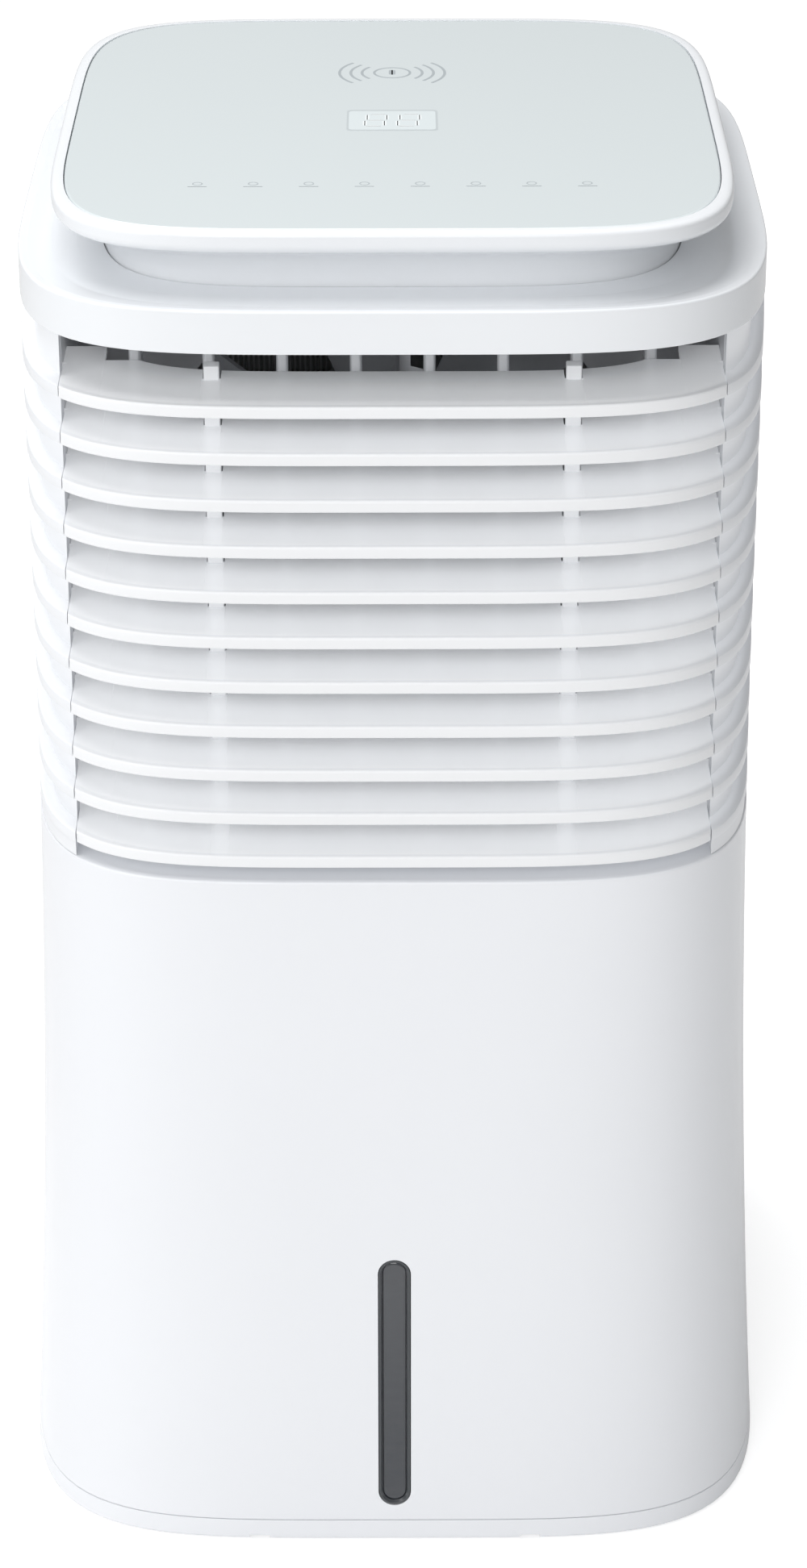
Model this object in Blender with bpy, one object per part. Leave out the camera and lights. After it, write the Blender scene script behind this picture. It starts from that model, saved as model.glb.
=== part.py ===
"""A compressor dehumidifier, modelled piece by piece. +Z up, front towards -Y.

The origin is the middle of the footprint at the height of the surface that the feet stand on.
Sizes are in millimetres, and the finished objects are in metres.
"""

import math

import bmesh
import bpy

MM = 0.001

# ---- driving sizes, in millimetres ----
CLEARANCE = 0.3            # between pieces that touch
RUNNING = 0.5              # around pins that turn in their holes
CUT_PAST = 5.0             # how far a cutter passes a face
OUTSIDE = 220.0            # well past the body, for cutters that leave it
WALL = 2.5                 # moulded shells

BODY_HALF_WIDTH = 138.0    # straight part of the body
BODY_HALF_DEPTH = 151.8
BODY_POWER = 4.6           # how square the plan is
FLARE = 12.3               # extra half width at the foot
FLARE_TOP = 380.0          # height where the flare starts
FLARE_POWER = 2.05
PLAN_POINTS = 40

BASE_LOW = 1.0
BASE_TOP = 9.4
BASE_FLOOR = 3.4
BASE_SKIRT = 4.0
NOTCH_X = 54.0
NOTCH_HALF_WIDTH = 4.0
NOTCH_HEIGHT = 1.6
FOOT_RADIUS = 12.0
FOOT_X, FOOT_Y = 100.0, 108.0

LOWER_TOP = 290.4
LOWER_FLANGE = 42.0        # inward shelf at the top of the lower shell
DECK_THICKNESS = 3.0

SLOT_WIDTH = 12.9
BEZEL_WALL = 1.4
BEZEL_BEVEL = 0.8
BEZEL_BACK = 4.0           # depth behind the front face
LENS_FACE = 1.4            # depth behind the front face
LENS_BACK = 3.9

TANK_SIDE_INSET = 20.3          # from the straight part of the body
TANK_FRONT_INSET = 3.8
TANK_CORNER_GAP = 2.28          # to the inside of the shell
TANK_HALF_WIDTH = BODY_HALF_WIDTH - TANK_SIDE_INSET
TANK_FRONT = BODY_HALF_DEPTH - TANK_FRONT_INSET
TANK_TOP = 133.0
DECK_HEIGHT = TANK_TOP + 8.5
SLOT_LOW, SLOT_TOP = 16.5, TANK_TOP - 5.1
TANK_FLOOR = 2.6
TANK_BACK_WALL = BODY_HALF_DEPTH - 21.8    # where the hollow ends
LID_THICKNESS = 3.0
LID_BACK = 4.0             # how far the lid passes the hollow
PULL_HALF_WIDTH = 45.0
PULL_LOW, PULL_TOP = 92.0, 120.0
PULL_FLOOR = 8.0           # wall between the hollow and the pull recess
FILL_RADIUS = 12.0
FLOAT_X, FLOAT_PIN_Y, FLOAT_PIN_Z = -60.0, 100.0, 120.0
FLOAT_HALF_WIDTH = 18.0
FLOAT_FRONT, FLOAT_REAR = 48.0, 80.0
FLOAT_LOW, FLOAT_TOP = 96.0, 112.0
FLOAT_ARM_HALF = 4.0
EAR_X = 13.0               # from the middle of the float
EAR_THICKNESS = 3.0
EAR_HALF_DEPTH = 6.0

BLADE_COUNT = 11
BLADE_PITCH = 17.8
BLADE_LOWEST = LOWER_TOP + 5.8
BLADE_END_INSET = 18.7
BLADE_HALF_LENGTH = BODY_HALF_WIDTH - BLADE_END_INSET
BLADE_END_SHARE = (BLADE_HALF_LENGTH / BODY_HALF_WIDTH) ** BODY_POWER
BLADE_END_FRONT = BODY_HALF_DEPTH * (1 - BLADE_END_SHARE) ** (1 / BODY_POWER)
BLADE_REAR_HALF_WIDTH = BODY_HALF_WIDTH - 29.0
BLADE_REAR_POWER = 5.0
BLADE_BEHIND_PIVOT = 2.2
BLADE_EAR_LENGTH = 14.8
LIP_HEIGHT = 4.6
BLADE_REAR_THICKNESS = 2.4
BLADE_PIN_RADIUS = 1.15
PIVOT_BEHIND_END = 24.89       # from the front edge of a blade's end to its pivot
PIVOT_Y = PIVOT_BEHIND_END - BLADE_END_FRONT
BLADE_REAR_DEPTH = 10.0 - PIVOT_Y
BAR_X = 65.0
BAR_WIDTH = 5.5
BAR_DEPTH = 5.6
BAR_Y = PIVOT_Y - 15.2
BAR_CRANK_Y = PIVOT_Y - 16.8
BAR_BELOW, BAR_ABOVE = 4.0, 6.0
BAR_SIDE_GAP, BAR_FRONT_GAP = 0.6, 0.9
CRANK_RADIUS = 0.9
CRANK_HOLE = 1.2
CRANK_ROOT = 1.5           # length of a crank pin inside the piece that carries it
PIN_RADIUS = 1.3

CHEEK_END = PIVOT_Y + 45.0
CHEEK_GROOVE = 11.2        # depth of the slots where they leave the blades
CHEEK_CLOSE = 0.75         # share of the corner where the slots run out
CHEEK_WALL = 1.3
CHEEK_INSET = 5.0

FRAME_WALL = 3.0
FRAME_FRONT, FRAME_REAR = PIVOT_Y - 3.0, -30.0
FRAME_SHELF = PIVOT_Y + 6.0     # where the top and bottom walls start
VANE_COUNT = 8
VANE_PITCH = 26.8
VANE_PIVOT_Y = PIVOT_Y + 21.0
VANE_FRONT, VANE_REAR = VANE_PIVOT_Y - 17.5, VANE_PIVOT_Y + 22.0
VANE_CRANK_Y = VANE_PIVOT_Y + 18.0
VANE_THICKNESS = 2.2
VANE_NOTCH_FRONT = 3.6     # room in front of the crank pin
VANE_LINK_HALF = 2.4
VANE_LINK_RISE = 8.0
VANE_LINK_HEIGHT = 4.0
VANE_LINK_END = 4.0
VANE_MOTOR_RADIUS = 13.0
VANE_MOTOR_HEIGHT = 18.0

COLLAR_LOW = BLADE_LOWEST + BLADE_PITCH * (BLADE_COUNT - 1) + LIP_HEIGHT + 19.5
COLLAR_TOP = COLLAR_LOW + 16.0
NECK_INSET = 30.5
NECK_FOOT = 5.0            # how far the neck reaches into the collar
RIM_INSET = 13.2
GLASS_INSET = 18.0
GLASS_TOP = COLLAR_TOP + 24.3
GLASS_THICKNESS = 3.6
GLASS_POWER = 5.4
GLASS_EDGE = 0.5
SEAT_WIDTH = 8.0
# height below the glass face, and share of the way from the neck out to the rim
NECK_PROFILE = ((24.1, 0.0), (20.1, 0.03), (16.1, 0.11), (13.1, 0.24), (10.8, 0.45), (9.2, 0.68),
                (8.0, 0.86), (6.6, 0.96), (5.0, 1.0), (1.8, 1.0), (0.5, 0.96), (0.0, 0.88))
BOARD_HALF_WIDTH, BOARD_FRONT, BOARD_REAR = 82.0, -96.0, 12.0
BOARD_THICKNESS = 1.6
COIL_RING_Y, COIL_RING_INNER, COIL_RING_OUTER, COIL_RING_HEIGHT = 58.0, 14.0, 30.0, 2.0

FAN_RADIUS = 88.0
FAN_TIP_GAP = 4.0
FAN_HEIGHT = (LOWER_TOP + COLLAR_LOW) / 2 + 0.65
FAN_BLADES = 7
FAN_FRONT, FAN_BACK = -26.0, 8.0
HUB_RADIUS = 24.0
SHAFT_RADIUS = 4.0
MOTOR_RADIUS = 34.0
MOTOR_LENGTH = 44.0
SHROUD_HALF_WIDTH = BODY_HALF_WIDTH - 8.0
SHROUD_THICKNESS = 3.0
DUCT_REAR = 11.0
ARM_HALF_WIDTH = 7.0
BRACKET_RADIUS = 40.0
BRACKET_BORE = 10.0

COIL_HALF_WIDTH = 100.0
COIL_LOW, COIL_TOP = LOWER_TOP + 15.6, COLLAR_LOW - 14.3
CONDENSER_FRONT, CONDENSER_REAR = 72.0, 92.0
EVAPORATOR_REAR = BODY_HALF_DEPTH - 29.8
EVAPORATOR_FRONT = EVAPORATOR_REAR - 22.0
FIN_SLOTS = 16
FIN_DEPTH = 5.0
FIN_END = 8.0
COIL_SIDE = 6.0
TRAY_HALF_WIDTH, TRAY_FRONT, TRAY_REAR = 104.0, 62.0, EVAPORATOR_REAR + 5.0
TRAY_WALL, TRAY_FLOOR = 3.0, 2.5
GRILLE_HALF_WIDTH = 97.0
GRILLE_LOW, GRILLE_TOP = LOWER_TOP + 19.6, COLLAR_LOW - 18.3
GRILLE_SLOTS = 14
GRILLE_MARGIN = 8.0
FILTER_MARGIN = 4.0
FILTER_SHEET = 1.2
FILTER_FRAME = 3.0
FILTER_RIB = 1.5
FILTER_COLUMNS, FILTER_ROWS = 4, 3
SPOUT_X, SPOUT_Y = 70.0, 88.0
SPOUT_RADIUS = 6.0
SPOUT_WALL = 1.6

COMPRESSOR_X, COMPRESSOR_Y = -40.0, 10.0
COMPRESSOR_RADIUS = 50.0
COMPRESSOR_TOP = LOWER_TOP - 12.9
COMPRESSOR_FLANGE = 58.0
PAD_HEIGHT = 7.0
PAD_INNER = 44.0
BOX_LEFT, BOX_RIGHT = 36.0, 112.0
BOX_FRONT, BOX_REAR = -112.0, -34.0
BOX_TOP = 215.0
BOX_EDGE = 3.0
SUCTION_RADIUS, DISCHARGE_RADIUS = 3.4, 2.8
INLET_X, INLET_Z = -70.0, 172.0
INLET_HALF_WIDTH, INLET_HALF_HEIGHT = 13.7, 10.3
INLET_DEPTH = 22.0
RECESS_HALF_WIDTH, RECESS_HALF_HEIGHT = 10.0, 6.5
RECESS_FLOOR = 4.0
CONTACT_X, CONTACT_RADIUS = 4.5, 1.3
BUNG_X, BUNG_Z = 70.0, 164.0
BUNG_RADIUS = 9.0
BUNG_FLANGE = 12.0
BUNG_LENGTH = 14.0

LOUVRE_LOW = LOWER_TOP + CLEARANCE
LOUVRE_TOP = COLLAR_LOW - CLEARANCE
FRAME_HALF_WIDTH = BLADE_HALF_LENGTH + CLEARANCE + FRAME_WALL
CHEEK_START = BLADE_HALF_LENGTH + CLEARANCE
DECK_TOP = DECK_HEIGHT + DECK_THICKNESS
DUCT_RADIUS = FAN_RADIUS + FAN_TIP_GAP
VANE_LOW = LOUVRE_LOW + FRAME_WALL + RUNNING
VANE_TOP = LOUVRE_TOP - FRAME_WALL - RUNNING
LINK_LOW = VANE_LOW + VANE_LINK_RISE
BLADE_EAR_X = BLADE_HALF_LENGTH - BLADE_EAR_LENGTH
BLADE_EAR_REAR = PIVOT_Y + 17.0
SEAT_HEIGHT = GLASS_TOP - GLASS_THICKNESS - CLEARANCE


# ---- materials ----
def material(name, color, roughness, metallic=0.0, alpha=1.0):
    paint = bpy.data.materials.get(name)
    if paint is None:
        paint = bpy.data.materials.new(name)
        paint.use_nodes = True
        shader = paint.node_tree.nodes["Principled BSDF"]
        shader.inputs["Base Color"].default_value = (*color, 1.0)
        shader.inputs["Roughness"].default_value = roughness
        shader.inputs["Metallic"].default_value = metallic
        shader.inputs["Alpha"].default_value = alpha
    return paint


WHITE = material("white_shell", (0.86, 0.87, 0.89), 0.25)
LOUVRE_WHITE = material("louvre_white", (0.84, 0.85, 0.86), 0.35)
GREY = material("grey_plastic", (0.45, 0.46, 0.48), 0.5)
DARK = material("dark_plastic", (0.06, 0.065, 0.07), 0.3)
SMOKE = material("smoked_lens", (0.05, 0.055, 0.065), 0.1, alpha=0.6)
CLEAR_TANK = material("tank_plastic", (0.62, 0.66, 0.7), 0.3)
GLASS = material("top_glass", (0.68, 0.72, 0.73), 0.06)
RUBBER = material("rubber", (0.03, 0.03, 0.03), 0.8)
STEEL = material("steel", (0.55, 0.56, 0.58), 0.35, 1.0)
ALUMINIUM = material("aluminium_fins", (0.78, 0.79, 0.8), 0.4, 1.0)
COPPER = material("copper_tube", (0.72, 0.35, 0.2), 0.3, 1.0)
BLACK_PAINT = material("black_paint", (0.02, 0.02, 0.022), 0.35)
BOARD = material("circuit_board", (0.02, 0.16, 0.07), 0.5)
MESH_GREY = material("filter_mesh", (0.2, 0.22, 0.25), 0.8)


# ---- shape of the body ----
def half_width(z):
    rise = max(0.0, (FLARE_TOP - z) / FLARE_TOP)
    return BODY_HALF_WIDTH + FLARE * rise ** FLARE_POWER


def half_depth(z):
    return half_width(z) * BODY_HALF_DEPTH / BODY_HALF_WIDTH


def edge_y(x, width, depth, power=BODY_POWER):
    """Half depth of the rounded plan at a distance x from the middle."""
    share = min(1.0, abs(x) / width)
    return depth * (1.0 - share ** power) ** (1.0 / power)


def plan(width, depth, power=BODY_POWER, points=PLAN_POINTS):
    """A rounded square, counter-clockwise from above."""
    outline = []
    for step in range(points):
        angle = 2 * math.pi * step / points
        x = math.copysign(abs(math.cos(angle)) ** (2 / power), math.cos(angle)) * width
        y = math.copysign(abs(math.sin(angle)) ** (2 / power), math.sin(angle)) * depth
        outline.append((x, y))
    return outline


def body_ring(z, inset=0.0):
    return [(x, y, z) for x, y in plan(half_width(z) - inset, half_depth(z) - inset)]


def head_ring(z, inset, power=BODY_POWER):
    width, depth = BODY_HALF_WIDTH - inset, BODY_HALF_DEPTH - inset
    return [(x, y, z) for x, y in plan(width, depth, power)]


def rounded_rectangle(half_x, low_y, high_y, front_corner, z, arc=6):
    """Straight at the back and rounded at the two front corners, counter-clockwise."""
    points = [(half_x, high_y, z), (-half_x, high_y, z)]
    for side, first in ((-1, 180.0), (1, 270.0)):
        for step in range(arc + 1):
            angle = math.radians(first + 90.0 * step / arc)
            x = side * (half_x - front_corner) + front_corner * math.cos(angle)
            y = low_y + front_corner + front_corner * math.sin(angle)
            points.append((x, y, z))
    return points


def tank_corner():
    """Radius at which the tank's front corners keep their gap to the inside of the shell."""
    inset = WALL + TANK_CORNER_GAP
    width, depth = half_width(DECK_HEIGHT) - inset, half_depth(DECK_HEIGHT) - inset
    small, large = 0.0, TANK_HALF_WIDTH
    for _ in range(40):
        radius = (small + large) / 2
        cut_in = radius * (1 - math.sqrt(0.5))
        share_x, share_y = (TANK_HALF_WIDTH - cut_in) / width, (TANK_FRONT - cut_in) / depth
        inside = share_x ** BODY_POWER + share_y ** BODY_POWER < 1.0
        small, large = (small, radius) if inside else (radius, large)
    return radius


TANK_CORNER = tank_corner()


# ---- mesh tools ----
def finish(name, mesh_data, paint, origin=(0, 0, 0), smooth=40.0):
    """Make the object; its origin lies at the given point, in millimetres."""
    bmesh.ops.recalc_face_normals(mesh_data, faces=mesh_data.faces)
    for vertex in mesh_data.verts:
        for axis in range(3):
            vertex.co[axis] = (vertex.co[axis] - origin[axis]) * MM
    mesh = bpy.data.meshes.new(name)
    mesh_data.to_mesh(mesh)
    mesh_data.free()
    piece = bpy.data.objects.new(name, mesh)
    piece.location = [value * MM for value in origin]
    bpy.context.scene.collection.objects.link(piece)
    if paint is not None:
        mesh.materials.append(paint)
    mesh.shade_smooth()
    mesh.set_sharp_from_angle(angle=math.radians(smooth))
    return piece


def add_rings(mesh_data, rings, closed=False):
    """Join rings of equal length; closed joins the last to the first, else the ends are capped."""
    rows = [[mesh_data.verts.new(point) for point in ring] for ring in rings]
    pairs = list(zip(rows, rows[1:]))
    if closed:
        pairs.append((rows[-1], rows[0]))
    else:
        mesh_data.faces.new(rows[0])
        mesh_data.faces.new(rows[-1])
    for low, high in pairs:
        for index in range(len(low)):
            after = (index + 1) % len(low)
            mesh_data.faces.new((low[index], low[after], high[after], high[index]))


def from_rings(name, rings, paint, closed=False, origin=(0, 0, 0)):
    mesh_data = bmesh.new()
    add_rings(mesh_data, rings, closed)
    return finish(name, mesh_data, paint, origin)


def box_rings(low, high):
    corners = [(low[0], low[1]), (high[0], low[1]), (high[0], high[1]), (low[0], high[1])]
    return [[(x, y, z) for x, y in corners] for z in (low[2], high[2])]


def disc(axis, centre, radius, along, sides):
    """A ring of points around an axis, at a place along it."""
    points = []
    for step in range(sides):
        angle = 2 * math.pi * (step + 0.5) / sides
        u, v = radius * math.cos(angle), radius * math.sin(angle)
        if axis == "X":
            points.append((along, centre[0] + u, centre[1] + v))
        elif axis == "Y":
            points.append((centre[0] + u, along, centre[1] + v))
        else:
            points.append((centre[0] + u, centre[1] + v, along))
    return points


def turned(axis, centre, stations, sides=24):
    """Rings for a turned shape: stations are (place along the axis, radius)."""
    return [disc(axis, centre, radius, along, sides) for along, radius in stations]


def several(name, groups, paint=None):
    """One object of separate closed shapes, used as a cutter or a group to add."""
    mesh_data = bmesh.new()
    for rings in groups:
        add_rings(mesh_data, rings)
    return finish(name, mesh_data, paint)


def combine(piece, operation, groups, label):
    """Cut, add or keep the common part of a piece with simple shapes."""
    tool = several(f"{piece.name}_{label}", groups)
    tool.hide_render = True
    tool.display_type = "WIRE"
    modifier = piece.modifiers.new(label, "BOOLEAN")
    modifier.operation = operation
    modifier.solver = "EXACT"
    modifier.object = tool


def cut(piece, groups, label="cut"):
    combine(piece, "DIFFERENCE", groups, label)


def add(piece, groups, label="add"):
    combine(piece, "UNION", groups, label)


def keep(piece, groups, label="keep"):
    combine(piece, "INTERSECT", groups, label)


# ---- base, feet and lower shell ----
def base_tray():
    piece = from_rings("base_tray", [body_ring(BASE_LOW), body_ring(BASE_TOP)], WHITE)
    under = [body_ring(BASE_LOW - 1, BASE_SKIRT), body_ring(BASE_TOP - BASE_FLOOR, BASE_SKIRT)]
    front = -half_depth(0)
    notches = [box_rings((side * NOTCH_X - NOTCH_HALF_WIDTH, front - CUT_PAST, BASE_LOW - 1),
                         (side * NOTCH_X + NOTCH_HALF_WIDTH, front + CUT_PAST, BASE_LOW + NOTCH_HEIGHT))
               for side in (-1, 1)]
    cut(piece, [under], "underside")
    cut(piece, notches, "notches")
    return piece


def feet():
    top = BASE_TOP - BASE_FLOOR - CLEARANCE
    for index, (side, end) in enumerate(((-1, -1), (1, -1), (1, 1), (-1, 1)), 1):
        profile = [(0.0, FOOT_RADIUS - 1.0), (1.0, FOOT_RADIUS), (top, FOOT_RADIUS)]
        rings = turned("Z", (side * FOOT_X, end * FOOT_Y), profile, 20)
        from_rings(f"foot_{index}", rings, RUBBER)


def slot_outline(half, low, high, depth, arc=8):
    """Upright slot with round ends that lies on the sloping front, at a depth behind it."""
    points = []
    for first, centre in ((180.0, low + half), (0.0, high - half)):
        for step in range(arc + 1):
            angle = math.radians(first + 180.0 * step / arc)
            x, z = half * math.cos(angle), centre + half * math.sin(angle)
            points.append((x, -half_depth(z) + depth, z))
    return points


def lower_shell():
    low = BASE_TOP + CLEARANCE
    heights = [low, 36, 64, 92, 120, 150, 184, 220, 256, LOWER_TOP]
    outer = [body_ring(z) for z in heights]
    shelf = LOWER_TOP - WALL
    inner = [body_ring(LOWER_TOP, LOWER_FLANGE), body_ring(shelf, LOWER_FLANGE), body_ring(shelf, WALL)]
    inner += [body_ring(z, WALL) for z in (220, 150, 80, low)]
    piece = from_rings("lower_shell", outer + inner, WHITE, closed=True)
    half = SLOT_WIDTH / 2
    window = [slot_outline(half, SLOT_LOW, SLOT_TOP, depth) for depth in (-WALL, 2 * WALL)]
    gap = TANK_HALF_WIDTH + CLEARANCE
    tank_door = box_rings((-gap, TRAY_FRONT, low - CUT_PAST), (gap, OUTSIDE, DECK_HEIGHT - CLEARANCE))
    half_x, half_z = INLET_HALF_WIDTH + CLEARANCE, INLET_HALF_HEIGHT + CLEARANCE
    inlet = box_rings((INLET_X - half_x, EVAPORATOR_REAR, INLET_Z - half_z),
                      (INLET_X + half_x, OUTSIDE, INLET_Z + half_z))
    hole = BUNG_RADIUS + CLEARANCE
    bung = turned("Y", (BUNG_X, BUNG_Z), [(EVAPORATOR_REAR, hole), (OUTSIDE, hole)])
    cut(piece, [window], "window")
    cut(piece, [tank_door], "tank_door")
    cut(piece, [inlet], "inlet")
    cut(piece, [bung], "drain")
    return piece


def level_window():
    gap = SLOT_WIDTH / 2 - CLEARANCE
    low, high = SLOT_LOW + CLEARANCE, SLOT_TOP - CLEARANCE
    inner = gap - BEZEL_WALL
    edge = BEZEL_WALL
    bevel = edge - BEZEL_BEVEL
    bezel = [slot_outline(gap, low, high, CLEARANCE), slot_outline(gap, low, high, BEZEL_BACK),
             slot_outline(inner, low + edge, high - edge, BEZEL_BACK),
             slot_outline(inner, low + edge, high - edge, CLEARANCE + BEZEL_BEVEL),
             slot_outline(gap - bevel, low + bevel, high - bevel, CLEARANCE)]
    from_rings("window_bezel", bezel, DARK, closed=True)
    lens_edge = edge + CLEARANCE
    lens = [slot_outline(inner - CLEARANCE, low + lens_edge, high - lens_edge, depth)
            for depth in (LENS_FACE, LENS_BACK)]
    from_rings("window_lens", lens, SMOKE)


def mid_deck():
    inset = WALL + CLEARANCE
    rings = [body_ring(DECK_HEIGHT, inset), body_ring(DECK_TOP, inset)]
    piece = from_rings("mid_deck", rings, GREY)
    hole = SPOUT_RADIUS + 2 * RUNNING
    ends = [(DECK_HEIGHT - CUT_PAST, hole), (DECK_TOP + CUT_PAST, hole)]
    cut(piece, [turned("Z", (SPOUT_X, SPOUT_Y), ends)])
    return piece


# ---- water tank ----
def tank():
    low = BASE_TOP + CLEARANCE
    high = DECK_HEIGHT - 3 * CLEARANCE
    heights = [low, 50, 95, high]
    piece = from_rings("tank", [body_ring(z) for z in heights], CLEAR_TANK)
    front = -TANK_FRONT
    keep(piece, [[rounded_rectangle(TANK_HALF_WIDTH, front, OUTSIDE, TANK_CORNER, z)
                  for z in (low - CUT_PAST, OUTSIDE)]])
    wall = TANK_HALF_WIDTH - WALL
    hollow = [rounded_rectangle(wall, front + WALL, TANK_BACK_WALL, TANK_CORNER - WALL, z)
              for z in (low + TANK_FLOOR, OUTSIDE)]
    cut(piece, [hollow], "hollow")
    lid_end = TANK_BACK_WALL + LID_BACK
    step = [rounded_rectangle(TANK_HALF_WIDTH + CUT_PAST, front - CUT_PAST, lid_end, TANK_CORNER, z)
            for z in (TANK_TOP, OUTSIDE)]
    cut(piece, [step], "lid_step")
    pull = box_rings((-PULL_HALF_WIDTH, TANK_BACK_WALL + PULL_FLOOR, PULL_LOW),
                     (PULL_HALF_WIDTH, OUTSIDE, PULL_TOP))
    cut(piece, [pull], "pull")
    return piece


def tank_lid():
    low = TANK_TOP + CLEARANCE
    high = low + LID_THICKNESS
    back = TANK_BACK_WALL + LID_BACK - CLEARANCE
    rings = [rounded_rectangle(TANK_HALF_WIDTH, -TANK_FRONT, back, TANK_CORNER, z) for z in (low, high)]
    piece = from_rings("tank_lid", rings, WHITE)
    half = EAR_THICKNESS / 2
    ears = [box_rings((x - half, FLOAT_PIN_Y - EAR_HALF_DEPTH, FLOAT_PIN_Z - EAR_HALF_DEPTH),
                      (x + half, FLOAT_PIN_Y + EAR_HALF_DEPTH, low + 1))
            for x in (FLOAT_X - EAR_X, FLOAT_X + EAR_X)]
    add(piece, ears, "ears")
    fill = [(low - CUT_PAST, FILL_RADIUS), (high + CUT_PAST, FILL_RADIUS)]
    cut(piece, [turned("Z", (SPOUT_X, SPOUT_Y), fill)], "fill_hole")
    hole = PIN_RADIUS + RUNNING
    reach = EAR_X + EAR_THICKNESS + CUT_PAST
    ear_hole = [(FLOAT_X - reach, hole), (FLOAT_X + reach, hole)]
    cut(piece, [turned("X", (FLOAT_PIN_Y, FLOAT_PIN_Z), ear_hole, 12)], "ear_hole")
    return piece


def tank_float():
    mesh_data = bmesh.new()
    add_rings(mesh_data, box_rings((FLOAT_X - FLOAT_HALF_WIDTH, FLOAT_FRONT, FLOAT_LOW),
                                   (FLOAT_X + FLOAT_HALF_WIDTH, FLOAT_REAR, FLOAT_TOP)))
    piece = finish("tank_float", mesh_data, WHITE, (FLOAT_X, FLOAT_PIN_Y, FLOAT_PIN_Z))
    half = FLOAT_ARM_HALF
    add(piece, [box_rings((FLOAT_X - half, FLOAT_REAR - half, FLOAT_TOP - half),
                          (FLOAT_X + half, FLOAT_PIN_Y + 3, FLOAT_PIN_Z + 3))], "arm")
    reach = EAR_X + EAR_THICKNESS
    pin = [(FLOAT_X - reach, PIN_RADIUS), (FLOAT_X + reach, PIN_RADIUS)]
    add(piece, [turned("X", (FLOAT_PIN_Y, FLOAT_PIN_Z), pin, 12)], "pin")
    return piece


# ---- refrigeration ----
def compressor():
    centre = (COMPRESSOR_X, COMPRESSOR_Y)
    low = DECK_TOP + PAD_HEIGHT
    stations = [(low, COMPRESSOR_FLANGE), (low + 3, COMPRESSOR_FLANGE), (low + 3.1, COMPRESSOR_RADIUS),
                (COMPRESSOR_TOP - 15.5, COMPRESSOR_RADIUS), (COMPRESSOR_TOP - 5.5, COMPRESSOR_RADIUS - 8),
                (COMPRESSOR_TOP, COMPRESSOR_RADIUS - 26)]
    from_rings("compressor", turned("Z", centre, stations, 32), BLACK_PAINT)
    low, high = DECK_TOP + CLEARANCE, low - CLEARANCE
    outer = COMPRESSOR_FLANGE - 1
    pad = [(low, outer), (high, outer - 2), (high, PAD_INNER + 2), (low, PAD_INNER)]
    from_rings("compressor_pad", turned("Z", centre, pad, 32), RUBBER, closed=True)


def control_box():
    piece = from_rings("control_box", box_rings((BOX_LEFT, BOX_FRONT, DECK_TOP + CLEARANCE),
                                                (BOX_RIGHT, BOX_REAR, BOX_TOP)), GREY)
    bevel = piece.modifiers.new("edges", "BEVEL")
    bevel.width = BOX_EDGE * MM
    bevel.segments = 2


def coil(name, front, rear):
    """Finned block: upright slots between solid sides."""
    piece = from_rings(name, box_rings((-COIL_HALF_WIDTH, front, COIL_LOW),
                                       (COIL_HALF_WIDTH, rear, COIL_TOP)), ALUMINIUM)
    pitch = 2 * (COIL_HALF_WIDTH - COIL_SIDE) / FIN_SLOTS
    half = pitch * 0.3
    slots = []
    for index in range(FIN_SLOTS):
        x = -COIL_HALF_WIDTH + COIL_SIDE + pitch * (index + 0.5)
        slots.append(box_rings((x - half, rear - FIN_DEPTH, COIL_LOW + FIN_END),
                               (x + half, rear + CUT_PAST, COIL_TOP - FIN_END)))
    cut(piece, slots, "fins")
    return piece


def smooth_route(points, parts=3):
    """Points along a smooth curve through the route's own points."""
    padded = [points[0]] + points + [points[-1]]
    route = []
    for index in range(1, len(padded) - 2):
        a, b, c, d = padded[index - 1:index + 3]
        for part in range(parts):
            t = part / parts
            route.append(tuple(
                0.5 * (2 * b[k] + (c[k] - a[k]) * t + (2 * a[k] - 5 * b[k] + 4 * c[k] - d[k]) * t * t
                       + (3 * b[k] - a[k] - 3 * c[k] + d[k]) * t ** 3) for k in range(3)))
    route.append(points[-1])
    return route


def pipe(name, points, radius):
    route = smooth_route(points)
    curve = bpy.data.curves.new(name, "CURVE")
    curve.dimensions = "3D"
    curve.bevel_depth = radius * MM
    curve.bevel_resolution = 2
    curve.use_fill_caps = True
    spline = curve.splines.new("POLY")
    spline.points.add(len(route) - 1)
    for point, place in zip(spline.points, route):
        point.co = (*[value * MM for value in place], 1.0)
    curve.materials.append(COPPER)
    piece = bpy.data.objects.new(name, curve)
    bpy.context.scene.collection.objects.link(piece)


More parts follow.
